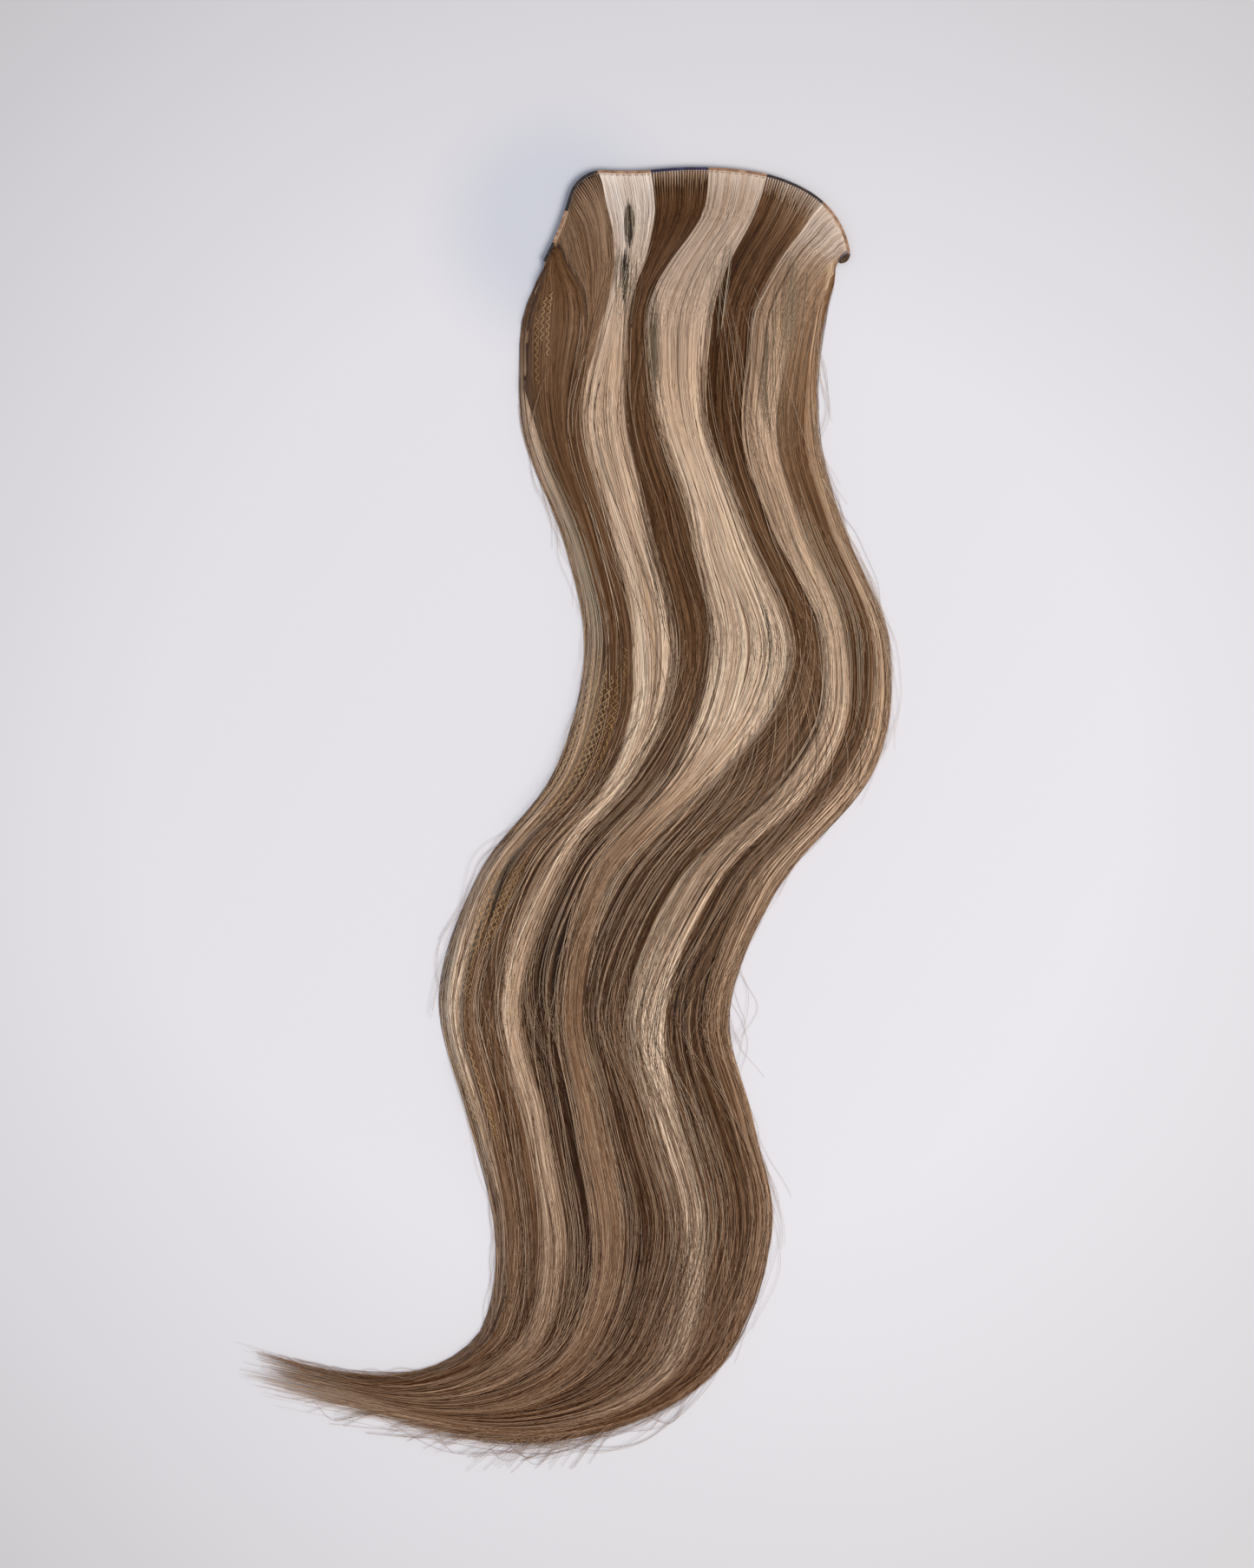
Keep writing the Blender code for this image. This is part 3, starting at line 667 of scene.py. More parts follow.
def lock_skin(lock, down, share):
    # The height of a lock's outermost hair: round between its own edges
    left = edge_at(lock["left"], down)
    right = edge_at(lock["right"], down)
    v = np.clip((share - left) / (right - left), 0.0, 1.0)
    if lock["layer"] == "tuck":
        flat = lock_floor(lock, down) + BAND_DEPTH + (TUCK_DEPTH - BAND_DEPTH) * ramp(down, 0.010)
        return np.minimum(flat + 0.0002, hair_top(down, share, 1.0) + 0.0001)
    crown = LOCK_CROWN * ramp(down, 0.06) * np.abs(2 * v - 1) ** 2.2 \
        * (1 - 0.6 * ramp(down - 0.40, 0.30))
    # Above the left fold brown 1 bulges, and brown 3 dips where brown 1 lies over it
    near_fold = 1 - ramp(down - 0.085, 0.03)
    if lock["name"] == "brown_1":
        crown = crown * (1 - near_fold) - 0.0006 * near_fold * ramp(down, 0.02)
    if lock["name"] == "brown_3":
        over = edge_at("r1", down) - share
        crown = crown * (1 - near_fold) + 0.0010 * near_fold * ramp(over + 0.012, 0.012)
    away = np.minimum(share, 1 - share) * hair_width(down)
    return hair_top(down, share, lock["rise"]) - crown * np.clip(away / EDGE_ROUND, 0.15, 1.0)


for index, lock in enumerate(LOCKS):
    body_down = np.linspace(0.0, lock["end"] - 0.09, BODY_ROWS)[:, None]
    body_left = edge_at(lock["left"], body_down)
    body_right = edge_at(lock["right"], body_down)
    inner = BODY_GAP / hair_width(body_down)
    outer = OUTER_INSET / hair_width(body_down)
    body_left = body_left + np.where(body_left > 0.0005, inner, outer)
    body_right = body_right - np.where(body_right < 0.9995, inner, outer)
    cells = 16 if lock["name"] in ("blonde_2", "brown_3") else 24
    v = np.linspace(0.0, 1.0, cells)
    share = body_left + (body_right - body_left) * v
    groove = GROOVE_DEPTH * np.sin(v * cells * 1.9 + 3 * np.sin(body_down * 17 + index)) ** 2
    skin = lock_skin(lock, body_down, share)
    floor = np.broadcast_to(lock_floor(lock, body_down), skin.shape)
    rim = np.minimum(share, 1 - share) * hair_width(body_down) < OUTER_RIM
    floor = floor * np.where(rim, 1 - ramp(body_down - 0.06, 0.03), 1.0)
    narrow = 1 - 0.75 * ramp(body_down - lock["end"] + 0.20, 0.11)
    middle = 0.5 * (body_left + body_right)
    share = middle + (share - middle) * narrow
    top = np.maximum(skin - BODY_DROP * ramp(body_down, 0.01) - groove, floor + 0.00025)
    top = floor + (top - floor) * (0.35 + 0.65 * narrow)
    body = hair_body("body_" + lock["name"], hair_place(body_down, share), top, floor)
    family = lock["name"].split("_")[0]
    body.data.materials.append(body_material(
        "hair_mass_painted_shade_" + lock["name"], *BODY_TONES_WITH_PAINTED_SHADE[family], 15))
    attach(body, "root")
    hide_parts("lock_" + lock["name"])


# Strands of the locks.
# Loose human hair on top of each body. Wefted hair lies combed in fine tufts that wander and
# cross a little, and under dark thread it leaves the band in small teeth, 1 mm apart.
# A hair is 0.08 mm thick: a strand stands for a few and is drawn 0.22 mm thick, so it shows.

STRAND_THICKNESS = 0.00022
STRAND_LAYER = 0.0010
TUFT_WIDTH = 0.0042
LINE_WIDTH = 0.0007
TOOTH_SHARE = 0.00095 / BAND_LENGTH
TOOTH_PULL = 0.80
WAVE_REACH = 0.00026
FINE_WAVE_REACH = 0.00012
CROSSING = 0.0010
CROSSING_BELOW = 0.0022
# How far the tones of tufts and of lines of hair differ, and the width of one strand's tone
TUFT_TONE = 0.060
LINE_TONE = 0.085
TONE_WIDTH = 0.012
# Strands end between FIRST_END and END_SPREAD more, those on the right END_SLANT later still.
# Past TAIL_START they spread out and draw together in wisps, WISPS_LEFT of them to the left of
# the hair's own edge, and their tips are paler.
FIRST_END = 0.81
END_SPREAD = 0.178
END_SLANT = 0.045
TAIL_START = 0.80
TAIL_SPREAD = 0.15
TIP_PALER = 0.50
WISP_SHARE = 0.09
WISPS = 40
WISPS_LEFT = 8
wisp_shifts = np.random.default_rng(90).uniform(-0.45, 0.45, WISPS)
ROOT_DOWNS = (0.0, 0.0015, 0.004, 0.008, 0.013, 0.019, 0.027, 0.037, 0.049, 0.063, 0.078)
strand_downs = np.array(ROOT_DOWNS + tuple(np.linspace(0.0935, 1.0, 55)))
SLOTS = dict(brown="brown_hair", blonde="blonde_hair", ash="blonde_hair")


def tube_tree():
    # Geometry Nodes: a closed three-sided tube along each line, as thick as the line says.
    # Its UV map is a chart of hair tones: the tone across it and the share down the hair.
    tree, sockets, given = open_tree(
        "hair_strands", {"Tone Width": "Float", "Material": "Material"})

    def stored(name):
        return add_node(
            tree, "GeometryNodeInputNamedAttribute", {"Name": name},
            data_type="FLOAT").outputs["Attribute"]

    line = add_node(tree, "GeometryNodeMeshToCurve", links={"Mesh": given["Geometry"]})
    upright = add_node(
        tree, "GeometryNodeSetCurveNormal", links={"Curve": line.outputs["Curve"]}, mode="Z_UP")
    section = add_node(tree, "GeometryNodeCurvePrimitiveCircle", {"Resolution": 3, "Radius": 1.0})
    index = add_node(tree, "GeometryNodeInputIndex")
    bow = add_node(
        tree, "ShaderNodeMath", {1: -0.75, 2: 1.75}, {0: index.outputs["Index"]},
        operation="MULTIPLY_ADD")
    round_share = add_node(
        tree, "ShaderNodeMath", links={0: bow.outputs[0], 1: index.outputs["Index"]},
        operation="MULTIPLY")
    marked = add_node(
        tree, "GeometryNodeStoreNamedAttribute", {"Name": "round"},
        {"Geometry": section.outputs["Curve"], "Value": round_share.outputs[0]},
        data_type="FLOAT", domain="POINT")
    tube = add_node(
        tree, "GeometryNodeCurveToMesh", {"Fill Caps": True},
        {"Curve": upright.outputs["Curve"], "Profile Curve": marked.outputs["Geometry"],
         "Scale": stored("thickness")})
    column = add_node(
        tree, "ShaderNodeMath",
        links={0: stored("round"), 1: given["Tone Width"], 2: stored("tone")},
        operation="MULTIPLY_ADD")
    chart = add_node(
        tree, "ShaderNodeCombineXYZ", links={"X": column.outputs[0], "Y": stored("down")})
    mapped = add_node(
        tree, "GeometryNodeStoreNamedAttribute", {"Name": "OFBake"},
        {"Geometry": tube.outputs["Mesh"], "Value": chart.outputs["Vector"]},
        data_type="FLOAT2", domain="CORNER")
    close_tree(tree, mapped.outputs["Geometry"], given["Material"])
    return tree, sockets


hair_strands, strand_sockets = tube_tree()


def hair_material(name, roughness, roots, lengths, tips):
    # Combed human hair: smooth scales give it a soft low gloss. Each set of colours goes from
    # the darkest brown hairs to the palest bleached ones: at the roots, along it, at the tips.
    material, tree, shader = new_material(name, roughness, **{"Specular IOR Level": 0.16})
    place = add_node(tree, "ShaderNodeUVMap", uv_map="OFBake")
    chart = add_node(
        tree, "ShaderNodeSeparateXYZ", links={"Vector": place.outputs["UV"]}).outputs
    roots, lengths, tips = (add_ramp(tree, chart["X"], row) for row in (roots, lengths, tips))
    past_root = add_node(
        tree, "ShaderNodeMapRange", {"From Min": 0.01, "From Max": 0.14},
        {"Value": chart["Y"]}, interpolation_type="SMOOTHSTEP")
    to_tip = add_node(
        tree, "ShaderNodeMapRange", {"From Min": 0.50, "From Max": 0.92},
        {"Value": chart["Y"]}, interpolation_type="SMOOTHSTEP")
    upper = add_node(
        tree, "ShaderNodeMix", links={0: past_root.outputs["Result"], 6: roots, 7: lengths},
        data_type="RGBA")
    whole = add_node(
        tree, "ShaderNodeMix", links={0: to_tip.outputs["Result"], 6: upper.outputs[2], 7: tips},
        data_type="RGBA")
    tree.links.new(whole.outputs[2], shader.inputs["Base Color"])
    return material


HAIR_COLOURS = (
    ("2c1607", "4e2e14", "745234", "a98d74", "d9cbbf", "f6ede6"),
    ("2c1607", "553519", "7f5d40", "aa8b6e", "d7bba0", "f1e0c8"),
    ("2d1606", "543118", "775133", "8f6d52", "af9176", "d8bea6"))
ASH_COLOURS = ("1c150f", "4e4031", "806f5a", "ae9d86", "d2c2ab", "eadfce")
hair_finishes = dict(
    brown=hair_material("brown_human_hair", 0.40, *HAIR_COLOURS),
    blonde=hair_material("bleached_blonde_hair", 0.46, *HAIR_COLOURS),
    ash=hair_material("ash_human_hair", 0.44, ASH_COLOURS, ASH_COLOURS, ASH_COLOURS))


def sway(rng, rows, down, cycles):
    # Slow random waves between about -1 and 1: a row of waves for each of rows, read at down
    total = 0.0
    for i, weight in enumerate((0.6, 0.35, 0.2)):
        turns = cycles * (i + 0.7) * rng.uniform(0.75, 1.25, rows)
        phase = rng.uniform(0, 2 * math.pi, rows)
        total = total + weight * np.sin(2 * math.pi * turns[:, None] * down + phase[:, None])
    return total


def common_wave(down, share):
    # The small waves that neighbouring hairs share, in metres to the side
    return WAVE_REACH * np.sin(2 * math.pi * (7.5 * down + 1.3 * share) + 1.0) \
        + FINE_WAVE_REACH * np.sin(2 * math.pi * (13 * down - 2.1 * share) + 2.6) \
        * ramp(down, 0.1)


def gather(rng, result, v, down, tufts, pull, wander):
    # Pulls strands, which run at result across their lock, towards the tuft each belongs to.
    # It also gives the tuft's own tone, which drifts between about -1 and 1 on its way down.
    # The waves are worked out at every hundredth of the length and read in between.
    own = np.clip((v * tufts).astype(int), 0, tufts - 1)
    knots = np.linspace(0, 1.1, 111)[None, :]
    drift = sway(rng, tufts, knots, 3.0) * wander / tufts
    grip = np.clip(0.5 + 0.5 * sway(rng, tufts, knots, 4.0), 0.0, 1.0)
    shade = 0.6 * rng.normal(0, 1, tufts)[:, None] + 0.6 * sway(rng, tufts, knots, 1.5)
    cell = np.clip(down * 100, 0, 108.999)
    base = cell.astype(int)
    part = cell - base
    rows = np.broadcast_to(own[:, None], down.shape)
    moved, held, toned = (
        table[rows, base] * (1 - part) + table[rows, base + 1] * part
        for table in (drift, grip, shade))
    centre = ((own + 0.5) / tufts)[:, None]
    loosened = 0.4 * ramp(down, 0.05) + 0.6 * ramp(down - 0.05, 0.25)
    return result + (pull * held * (centre - result) + moved) * loosened, toned


def strand_shares(rng, v, down, left, right, teeth):
    # Where strands run across the hair, and the tone of their tufts and lines. Each strand's
    # place between left and right is v; some cross their neighbours, more so lower down.
    width = hair_width(down)
    mean = float((width * (right - left)).mean())
    result = np.broadcast_to(v[:, None], down.shape).copy()
    tufts = max(2, int(round(mean / TUFT_WIDTH)))
    lines = max(3, int(round(mean / LINE_WIDTH)))
    result, tuft_tone = gather(rng, result, v, down, tufts, 0.12, 0.22)
    result, line_tone = gather(rng, result, v, down, lines, 0.30, 0.25)
    share = left + (right - left) * result
    if teeth:
        tooth = (np.floor(share[:, :1] / TOOTH_SHARE) + 0.5) * TOOTH_SHARE
        share = share + TOOTH_PULL * (tooth - share[:, :1]) * (1 - ramp(down - 0.004, 0.020))
    loose = rng.uniform(0.3, 1.0, len(v))[:, None] ** 2
    cross = (CROSSING + CROSSING_BELOW * ramp(down - 0.38, 0.35)) * loose \
        * sway(rng, len(v), down, 0.9) * ramp(down, 0.08)
    share = share + (cross + common_wave(down, share) * ramp(down, 0.05)) / width
    return share, TUFT_TONE * tuft_tone + LINE_TONE * line_tone


def strand_piece(name, points, tone, down, thickness, family):
    # A piece of strands: a row of points, tones, places down the hair and radii for each
    count, length = tone.shape
    starts = np.arange(count)[:, None] * length + np.arange(length - 1)[None, :]
    edges = np.stack([starts.ravel(), starts.ravel() + 1], -1).tolist()
    piece = grow(
        name, points.reshape(-1, 3), edges, hair_strands, strand_sockets,
        {"Tone Width": TONE_WIDTH, "Material": hair_finishes[family]},
        {"tone": np.clip(tone, 0.0, 0.985), "down": np.clip(down, 0.0, 1.0),
         "thickness": thickness})
    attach(piece, "root")


def own_edges(lock):
    # A lock's left and right edges, as a function of the place down the hair
    return lambda down: (edge_at(lock["left"], down), edge_at(lock["right"], down))


def lay_strands(seed, name, family, row, lock, edges):
    # A piece of strands between two edges on top of a lock. Those not rooted in the front band
    # start that far beneath the skin and come up.
    rng = np.random.default_rng(seed)
    count = row["count"]
    v = rng.uniform(0.0, 1.0, count)
    last_left, last_right = edges(np.array(1.0))
    end = FIRST_END + (END_SPREAD + END_SLANT * (last_left + (last_right - last_left) * v)) \
        * rng.uniform(0, 1, count) ** 1.5
    down = strand_downs[None, :] * end[:, None]
    left, right = edges(down)
    share, shade = strand_shares(rng, v, down, left, right, row.get("teeth", False))
    scatter = rng.normal(0.1, 1, count) * np.where(rng.uniform(0, 1, count) < 0.12, 2.2, 1.0)
    share = share + scatter[:, None] * TAIL_SPREAD * ramp(down - TAIL_START, 0.24)
    wisp = np.round(share[:, -1:] / WISP_SHARE).astype(int) + WISPS_LEFT
    wisp = np.clip(wisp, 0, WISPS - 1)
    pull = 0.7 * rng.uniform(0, 1, (count, 1)) * ramp(down - 0.82, 0.18)
    share = share + pull * ((wisp - WISPS_LEFT + wisp_shifts[wisp]) * WISP_SHARE - share)
    deep = STRAND_LAYER * rng.uniform(0, 1, count)[:, None] ** 1.3
    near_left = edge_at(lock["left"], down) + 0.004
    near_right = edge_at(lock["right"], down) - 0.004
    skin = lock_skin(lock, down, np.where(
        (share > 0.04) & (share < 0.96), np.clip(share, near_left, near_right),
        np.clip(share, 0.0, 1.0)))
    height = skin - deep * ramp(down + 0.004, 0.02) * (0.4 + 0.6 * ramp(down - 0.05, 0.2)) \
        - row.get("rooted", 0.0) * (1 - ramp(down - 0.004, 0.06)) \
        - STRAND_THICKNESS * 0.9 * (1 - ramp(down, 0.004)) \
        + 0.00016 * sway(rng, count, down, 2.5) * ramp(down, 0.05)
    height = np.maximum(height, 0.00018 + 0.0005 * rng.uniform(0, 1, count)[:, None])
    points = np.concatenate([hair_place(down, share, -0.0004), height[..., None]], -1)
    knots, tones = np.array(row["tones"]).T
    # Strands lying deeper are painted darker and those nearest the top paler: painted shade between
    # the strands
    own = shade + row["spread"] * rng.normal(0, 1, (count, 1)) \
        - 0.10 * (deep / STRAND_LAYER - 0.4)
    # Near the band the hairs of a lock differ less in tone, but those of the two darkest locks
    # differ there almost as much as lower down
    calm = 0.20 if lock["name"] in ("brown_5", "brown_7") else 0.65
    tone = np.interp(down, knots, tones) + own * (1 - calm * (1 - ramp(down - 0.10, 0.35))) \
        + TIP_PALER * ramp(down - 0.90, 0.10)
    stray = rng.uniform(0, 1, count)[:, None] < np.interp(down, (0.1, 0.6), (row["stray"], 0.15))
    other = row["other"] + 0.08 * rng.normal(0, 1, count)[:, None]
    begins = rng.uniform(0.0, 0.6, count)[:, None]
    tone = tone + (other - tone) * np.where(stray, ramp(down - begins, 0.10), 0.0)
    size = rng.uniform(0.75, 1.25, count)[:, None]
    taper = 1 - ramp((down - down[:, :1]) / (down[:, -1:] - down[:, :1]) - 0.80, 0.20)
    strand_piece(
        name, points, tone, down, STRAND_THICKNESS / 2 * size * (0.2 + 0.8 * taper), family)


# Tones go from 0, the darkest brown, to 1, the palest blonde, at shares down the hair
STRANDS = [
    dict(lock="brown_1", count=400, spread=0.11, stray=0.09, other=0.64, teeth=True,
         tones=((0.0, 0.28), (0.05, 0.34), (0.10, 0.41), (0.20, 0.28), (0.55, 0.27), (1.0, 0.30))),
    dict(lock="blonde_2", count=220, spread=0.09, stray=0.20, other=0.32,
         tones=((0.0, 0.66), (0.002, 0.60), (0.005, 0.40), (0.09, 0.36), (0.12, 0.54),
                (0.17, 0.80), (0.30, 0.66), (0.45, 0.72), (0.56, 0.91), (0.70, 0.74), (1.0, 0.60))),
    dict(lock="brown_3", count=380, spread=0.07, stray=0.05, other=0.66, teeth=True,
         tones=((0.0, 0.50), (0.03, 0.50), (0.09, 0.45), (0.14, 0.36), (0.55, 0.24), (1.0, 0.27))),
    dict(lock="blonde_4", count=400, spread=0.075, stray=0.10, other=0.44,
         tones=((0.0, 0.81), (0.05, 0.74), (0.08, 0.74), (0.14, 0.78), (0.40, 0.82),
                (0.52, 0.68), (1.0, 0.66))),
    dict(lock="brown_5", count=400, spread=0.08, stray=0.07, other=0.50, teeth=True,
         tones=((0.0, 0.42), (0.012, 0.34), (0.03, 0.21), (0.15, 0.34), (0.35, 0.28),
                (0.50, 0.06), (0.64, 0.05), (0.78, 0.17), (1.0, 0.28))),
    dict(lock="blonde_6", count=480, spread=0.075, stray=0.08, other=0.44,
         tones=((0.0, 0.71), (0.02, 0.64), (0.12, 0.76), (0.20, 0.83), (0.36, 0.86),
                (0.45, 0.49), (0.55, 0.40), (0.72, 0.52), (1.0, 0.60))),
    dict(lock="brown_7", count=480, spread=0.08, stray=0.07, other=0.60, teeth=True,
         tones=((0.0, 0.46), (0.02, 0.36), (0.05, 0.24), (0.15, 0.22), (0.28, 0.28), (0.40, 0.42),
                (0.48, 0.28), (0.58, 0.20), (0.75, 0.24), (1.0, 0.31))),
]
locks_by_name = {lock["name"]: lock for lock in LOCKS}
for index, row in enumerate(STRANDS):
    lock = locks_by_name[row["lock"]]
    lay_strands(
        100 + index, "strands_" + row["lock"], row["lock"].split("_")[0], row, lock,
        own_edges(lock))


# Strands of the right lock.
# Its bleached hair lies over brown hair of the back row, which comes out from beneath it below
# the band and runs down its right half, with a light margin outside.

# The place down the hair, and where the brown part and the margin begin across the lock
RIGHT_PARTINGS = np.array([
    (0.00, 1.00, 1.00), (0.03, 0.93, 1.00), (0.06, 0.76, 0.97), (0.10, 0.60, 0.90),
    (0.16, 0.45, 0.86), (0.23, 0.42, 0.84), (0.31, 0.32, 0.78), (0.39, 0.43, 0.69),
    (0.48, 0.40, 0.73), (0.56, 0.38, 0.80), (0.64, 0.30, 0.85), (0.71, 0.32, 0.85),
    (0.78, 0.45, 0.86), (0.87, 0.55, 0.88), (1.00, 0.60, 0.90),
])
RIGHT_ROOT_REACH = 0.030
right_lock = locks_by_name["blonde_8"]


def right_edges(low, high):
    # Edges of one part of the right lock, from the columns of its partings
    def edges(down):
        left, right = own_edges(right_lock)(down)
        right = right + RIGHT_ROOT_REACH * (1 - ramp(down, 0.05))
        knots = RIGHT_PARTINGS[:, 0]
        start = np.interp(down, knots, RIGHT_PARTINGS[:, low]) if low else 0.0
        finish = np.interp(down, knots, RIGHT_PARTINGS[:, high]) if high else 1.0
        return left + (right - left) * start, left + (right - left) * finish
    return edges


RIGHT_PARTS = [
    dict(name="strands_blonde_8", low=0, high=1, count=440, family="blonde",
         spread=0.09, stray=0.12, other=0.34,
         tones=((0.0, 0.71), (0.03, 0.69), (0.07, 0.57), (0.10, 0.62), (0.16, 0.76),
                (0.22, 0.72), (0.30, 0.80), (0.50, 0.84), (0.60, 0.92), (0.75, 0.87), (1.0, 0.66))),
    dict(name="strands_right_brown", low=1, high=2, count=330, family="brown", rooted=0.0012,
         spread=0.15, stray=0.24, other=0.62,
         tones=((0.0, 0.56), (0.08, 0.52), (0.20, 0.36), (0.42, 0.28), (0.58, 0.15),
                (0.72, 0.32), (1.0, 0.34))),
    dict(name="strands_right_margin", low=2, high=0, count=130, family="blonde", rooted=0.0012,
         spread=0.12, stray=0.40, other=0.36,
         tones=((0.0, 0.34), (0.08, 0.42), (0.16, 0.54), (0.30, 0.64), (0.45, 0.70), (0.60, 0.44),
                (1.0, 0.45))),
]
for index, row in enumerate(RIGHT_PARTS):
    lay_strands(
        200 + index, row["name"], row["family"], row, right_lock,
        right_edges(row["low"], row["high"]))


# Comb of pale hair under the dark thread.
# Between the dark teeth the bleached hair of the back row shows through as short bright lines,
# 1 to 10 mm long, just beneath the thread. They are drawn 0.18 mm thick, so they show.

COMBS = [
    dict(low=0.014, high=0.046, least=0.0015, most=0.003, light=0.55),
    dict(low=0.262, high=0.272, least=0.002, most=0.003, light=0.60),
    dict(low=0.408, high=0.549, least=0.007, most=0.013, light=0.78),
    dict(low=0.700, high=0.854, least=0.010, most=0.019, light=0.86),
]
COMB_THICKNESS = 0.00018
COMB_SPREAD = 0.00013
COMB_POINTS = 7
comb_rng = np.random.default_rng(300)
comb_points = []
comb_tones = []
for row in COMBS:
    first = math.ceil(row["low"] / TOOTH_SHARE)
    for gap in np.arange(first, row["high"] / TOOTH_SHARE) * TOOTH_SHARE:
        reach = comb_rng.uniform(row["least"], row["most"])
        light = row["light"] * comb_rng.uniform(0.85, 1.0)
        for side in (-COMB_SPREAD, 0.0, COMB_SPREAD):
            down = np.linspace(0.0, reach * (1.0 if side else 1.25), COMB_POINTS)
            share = gap + side * (1 - down / reach * 0.8) / BAND_LENGTH
            height = 2 * BAND_DEPTH + PIECE_GAP - 0.00010 + 0.0016 * ramp(down, 0.03) \
                - 0.0008 * (down / reach) ** 3
            comb_points.append(np.column_stack([hair_place(down, share, -0.0004), height]))
            comb_tones.append(np.linspace(light, light * 0.75, COMB_POINTS))
comb_points = np.array(comb_points)
comb_tones = np.array(comb_tones)
comb_sizes = COMB_THICKNESS / 2 * np.linspace(1.0, 0.35, COMB_POINTS)[None, :] \
    * comb_rng.uniform(0.85, 1.15, len(comb_tones))[:, None]
strand_piece(
    "comb_pale", comb_points, comb_tones, np.zeros(comb_tones.shape), comb_sizes, "blonde")


# Ash hairs, and near-black ones that paint the shaded gaps of the blonde locks.
# Some hair is greyer than the rest and runs in fine streaks among it. Where bleached hair
# parts, the dark hair beneath shows in shade as narrow slits, 10 to 50 mm long, pointed at both
# ends. They are drawn as near-black hairs lying over the others: partly that hair's own colour,
# partly painted shade.
# These hairs are drawn 0.16 mm thick, so they show.

# The near-black rows are painted shade of the gaps; the paler rows are ash hairs
# From start to finish down the hair, and from "at" to "to" across it
SLITS = [
    dict(start=0.008, finish=0.060, at=0.355, to=0.348, spread=0.005, count=80, tone=0.00),
    dict(start=0.038, finish=0.095, at=0.348, to=0.328, spread=0.006, count=50, tone=0.06),
    dict(start=0.030, finish=0.120, at=0.352, to=0.325, spread=0.016, count=28, tone=0.42),
    dict(start=0.006, finish=0.060, at=0.354, to=0.352, spread=0.009, count=20, tone=0.58),
    dict(start=0.020, finish=0.120, at=0.605, to=0.640, spread=0.022, count=12, tone=0.62),
    dict(start=0.030, finish=0.150, at=0.870, to=0.910, spread=0.040, count=30, tone=0.46),
    dict(start=0.085, finish=0.200, at=0.810, to=0.870, spread=0.035, count=26, tone=0.40),
    dict(start=0.065, finish=0.165, at=0.412, to=0.478, spread=0.015, count=20, tone=0.38),
    dict(start=0.150, finish=0.250, at=0.468, to=0.472, spread=0.012, count=14, tone=0.38),
    dict(start=0.200, finish=0.330, at=0.300, to=0.265, spread=0.012, count=10, tone=0.30),
    dict(start=0.260, finish=0.360, at=0.640, to=0.560, spread=0.024, count=12, tone=0.32),
    dict(start=0.360, finish=0.440, at=0.390, to=0.345, spread=0.005, count=14, tone=0.14),
    dict(start=0.420, finish=0.560, at=0.430, to=0.440, spread=0.030, count=24, tone=0.22),
    dict(start=0.160, finish=0.420, at=0.900, to=0.880, spread=0.050, count=26, tone=0.66),
    dict(start=0.455, finish=0.535, at=0.064, to=0.112, spread=0.003, count=12, tone=0.04),
    dict(start=0.500, finish=0.780, at=0.480, to=0.465, spread=0.024, count=16, tone=0.70),
    dict(start=0.500, finish=0.800, at=0.780, to=0.760, spread=0.040, count=14, tone=0.68),
    dict(start=0.120, finish=0.400, at=0.040, to=0.030, spread=0.030, count=26, tone=0.62),
]
LOOSE_THICKNESS = 0.00016
SLIT_POINTS = 16
SLIT_LIFT = 0.00020
DIVE = 0.0014


def over_height(down, share, t, lift):
    # The height of hairs that lie over the others and dive under them at both ends
    return np.maximum(hair_top(down, share, 1.0) + lift - DIVE * np.abs(2 * t - 1) ** 3, 0.0003)


def pointed(t):
    # A hair's share of its full thickness: it is finer at both ends
    return 0.35 + 0.65 * np.sin(math.pi * t) ** 0.6


def joined_piece(name, parts, family):
    # One piece of several sets of strands
    strand_piece(name, *(np.concatenate(part) for part in zip(*parts)), family)


def lay_over(rng, row, points, lift):
    # Hairs along part of the length, on top of the others: points, places down, share of thickness
    lines = []
    downs = []
    sizes = []
    span = row["finish"] - row["start"]
    t = np.linspace(0.0, 1.0, points)
    for i in range(row["count"]):
        length = span * rng.uniform(0.55, 1.0)
        start = row["start"] + (span - length) * rng.uniform(0, 1)
        down = start + length * t
        along = (down - row["start"]) / span
        place = rng.normal(0, 1) * row["spread"] * (0.3 + 0.7 * np.sin(math.pi * along))
        share = row["at"] + (row["to"] - row["at"]) * along + place
        share = share + rng.normal(0, row.get("cross", 0.0)) * (t - 0.5)
        share = np.clip(share + common_wave(down, share) / hair_width(down), -0.010, 1.010)
        height = over_height(down, share, t, lift)
        lines.append(np.column_stack([hair_place(down, share), height]))
        downs.append(down)
        sizes.append(pointed(t))
    return np.array(lines), np.array(downs), np.array(sizes)


slit_rng = np.random.default_rng(350)
slit_parts = []
for row in SLITS:
    lines, downs, sizes = lay_over(slit_rng, row, SLIT_POINTS, SLIT_LIFT)
    tones = row["tone"] + 0.07 * slit_rng.normal(0, 1, (len(lines), 1)) + 0 * downs
    slit_parts.append((lines, tones, downs, LOOSE_THICKNESS / 2 * sizes))
joined_piece("strands_ash_and_shaded_slits", slit_parts, "ash")


# Wandering hairs.
# Hairs of every shade have strayed from their own locks and lie across the others at a slight
# angle, few near the band and many in the lower half, and some lie loose along both sides.
# They are drawn as thick as the ash ones, 0.16 mm.

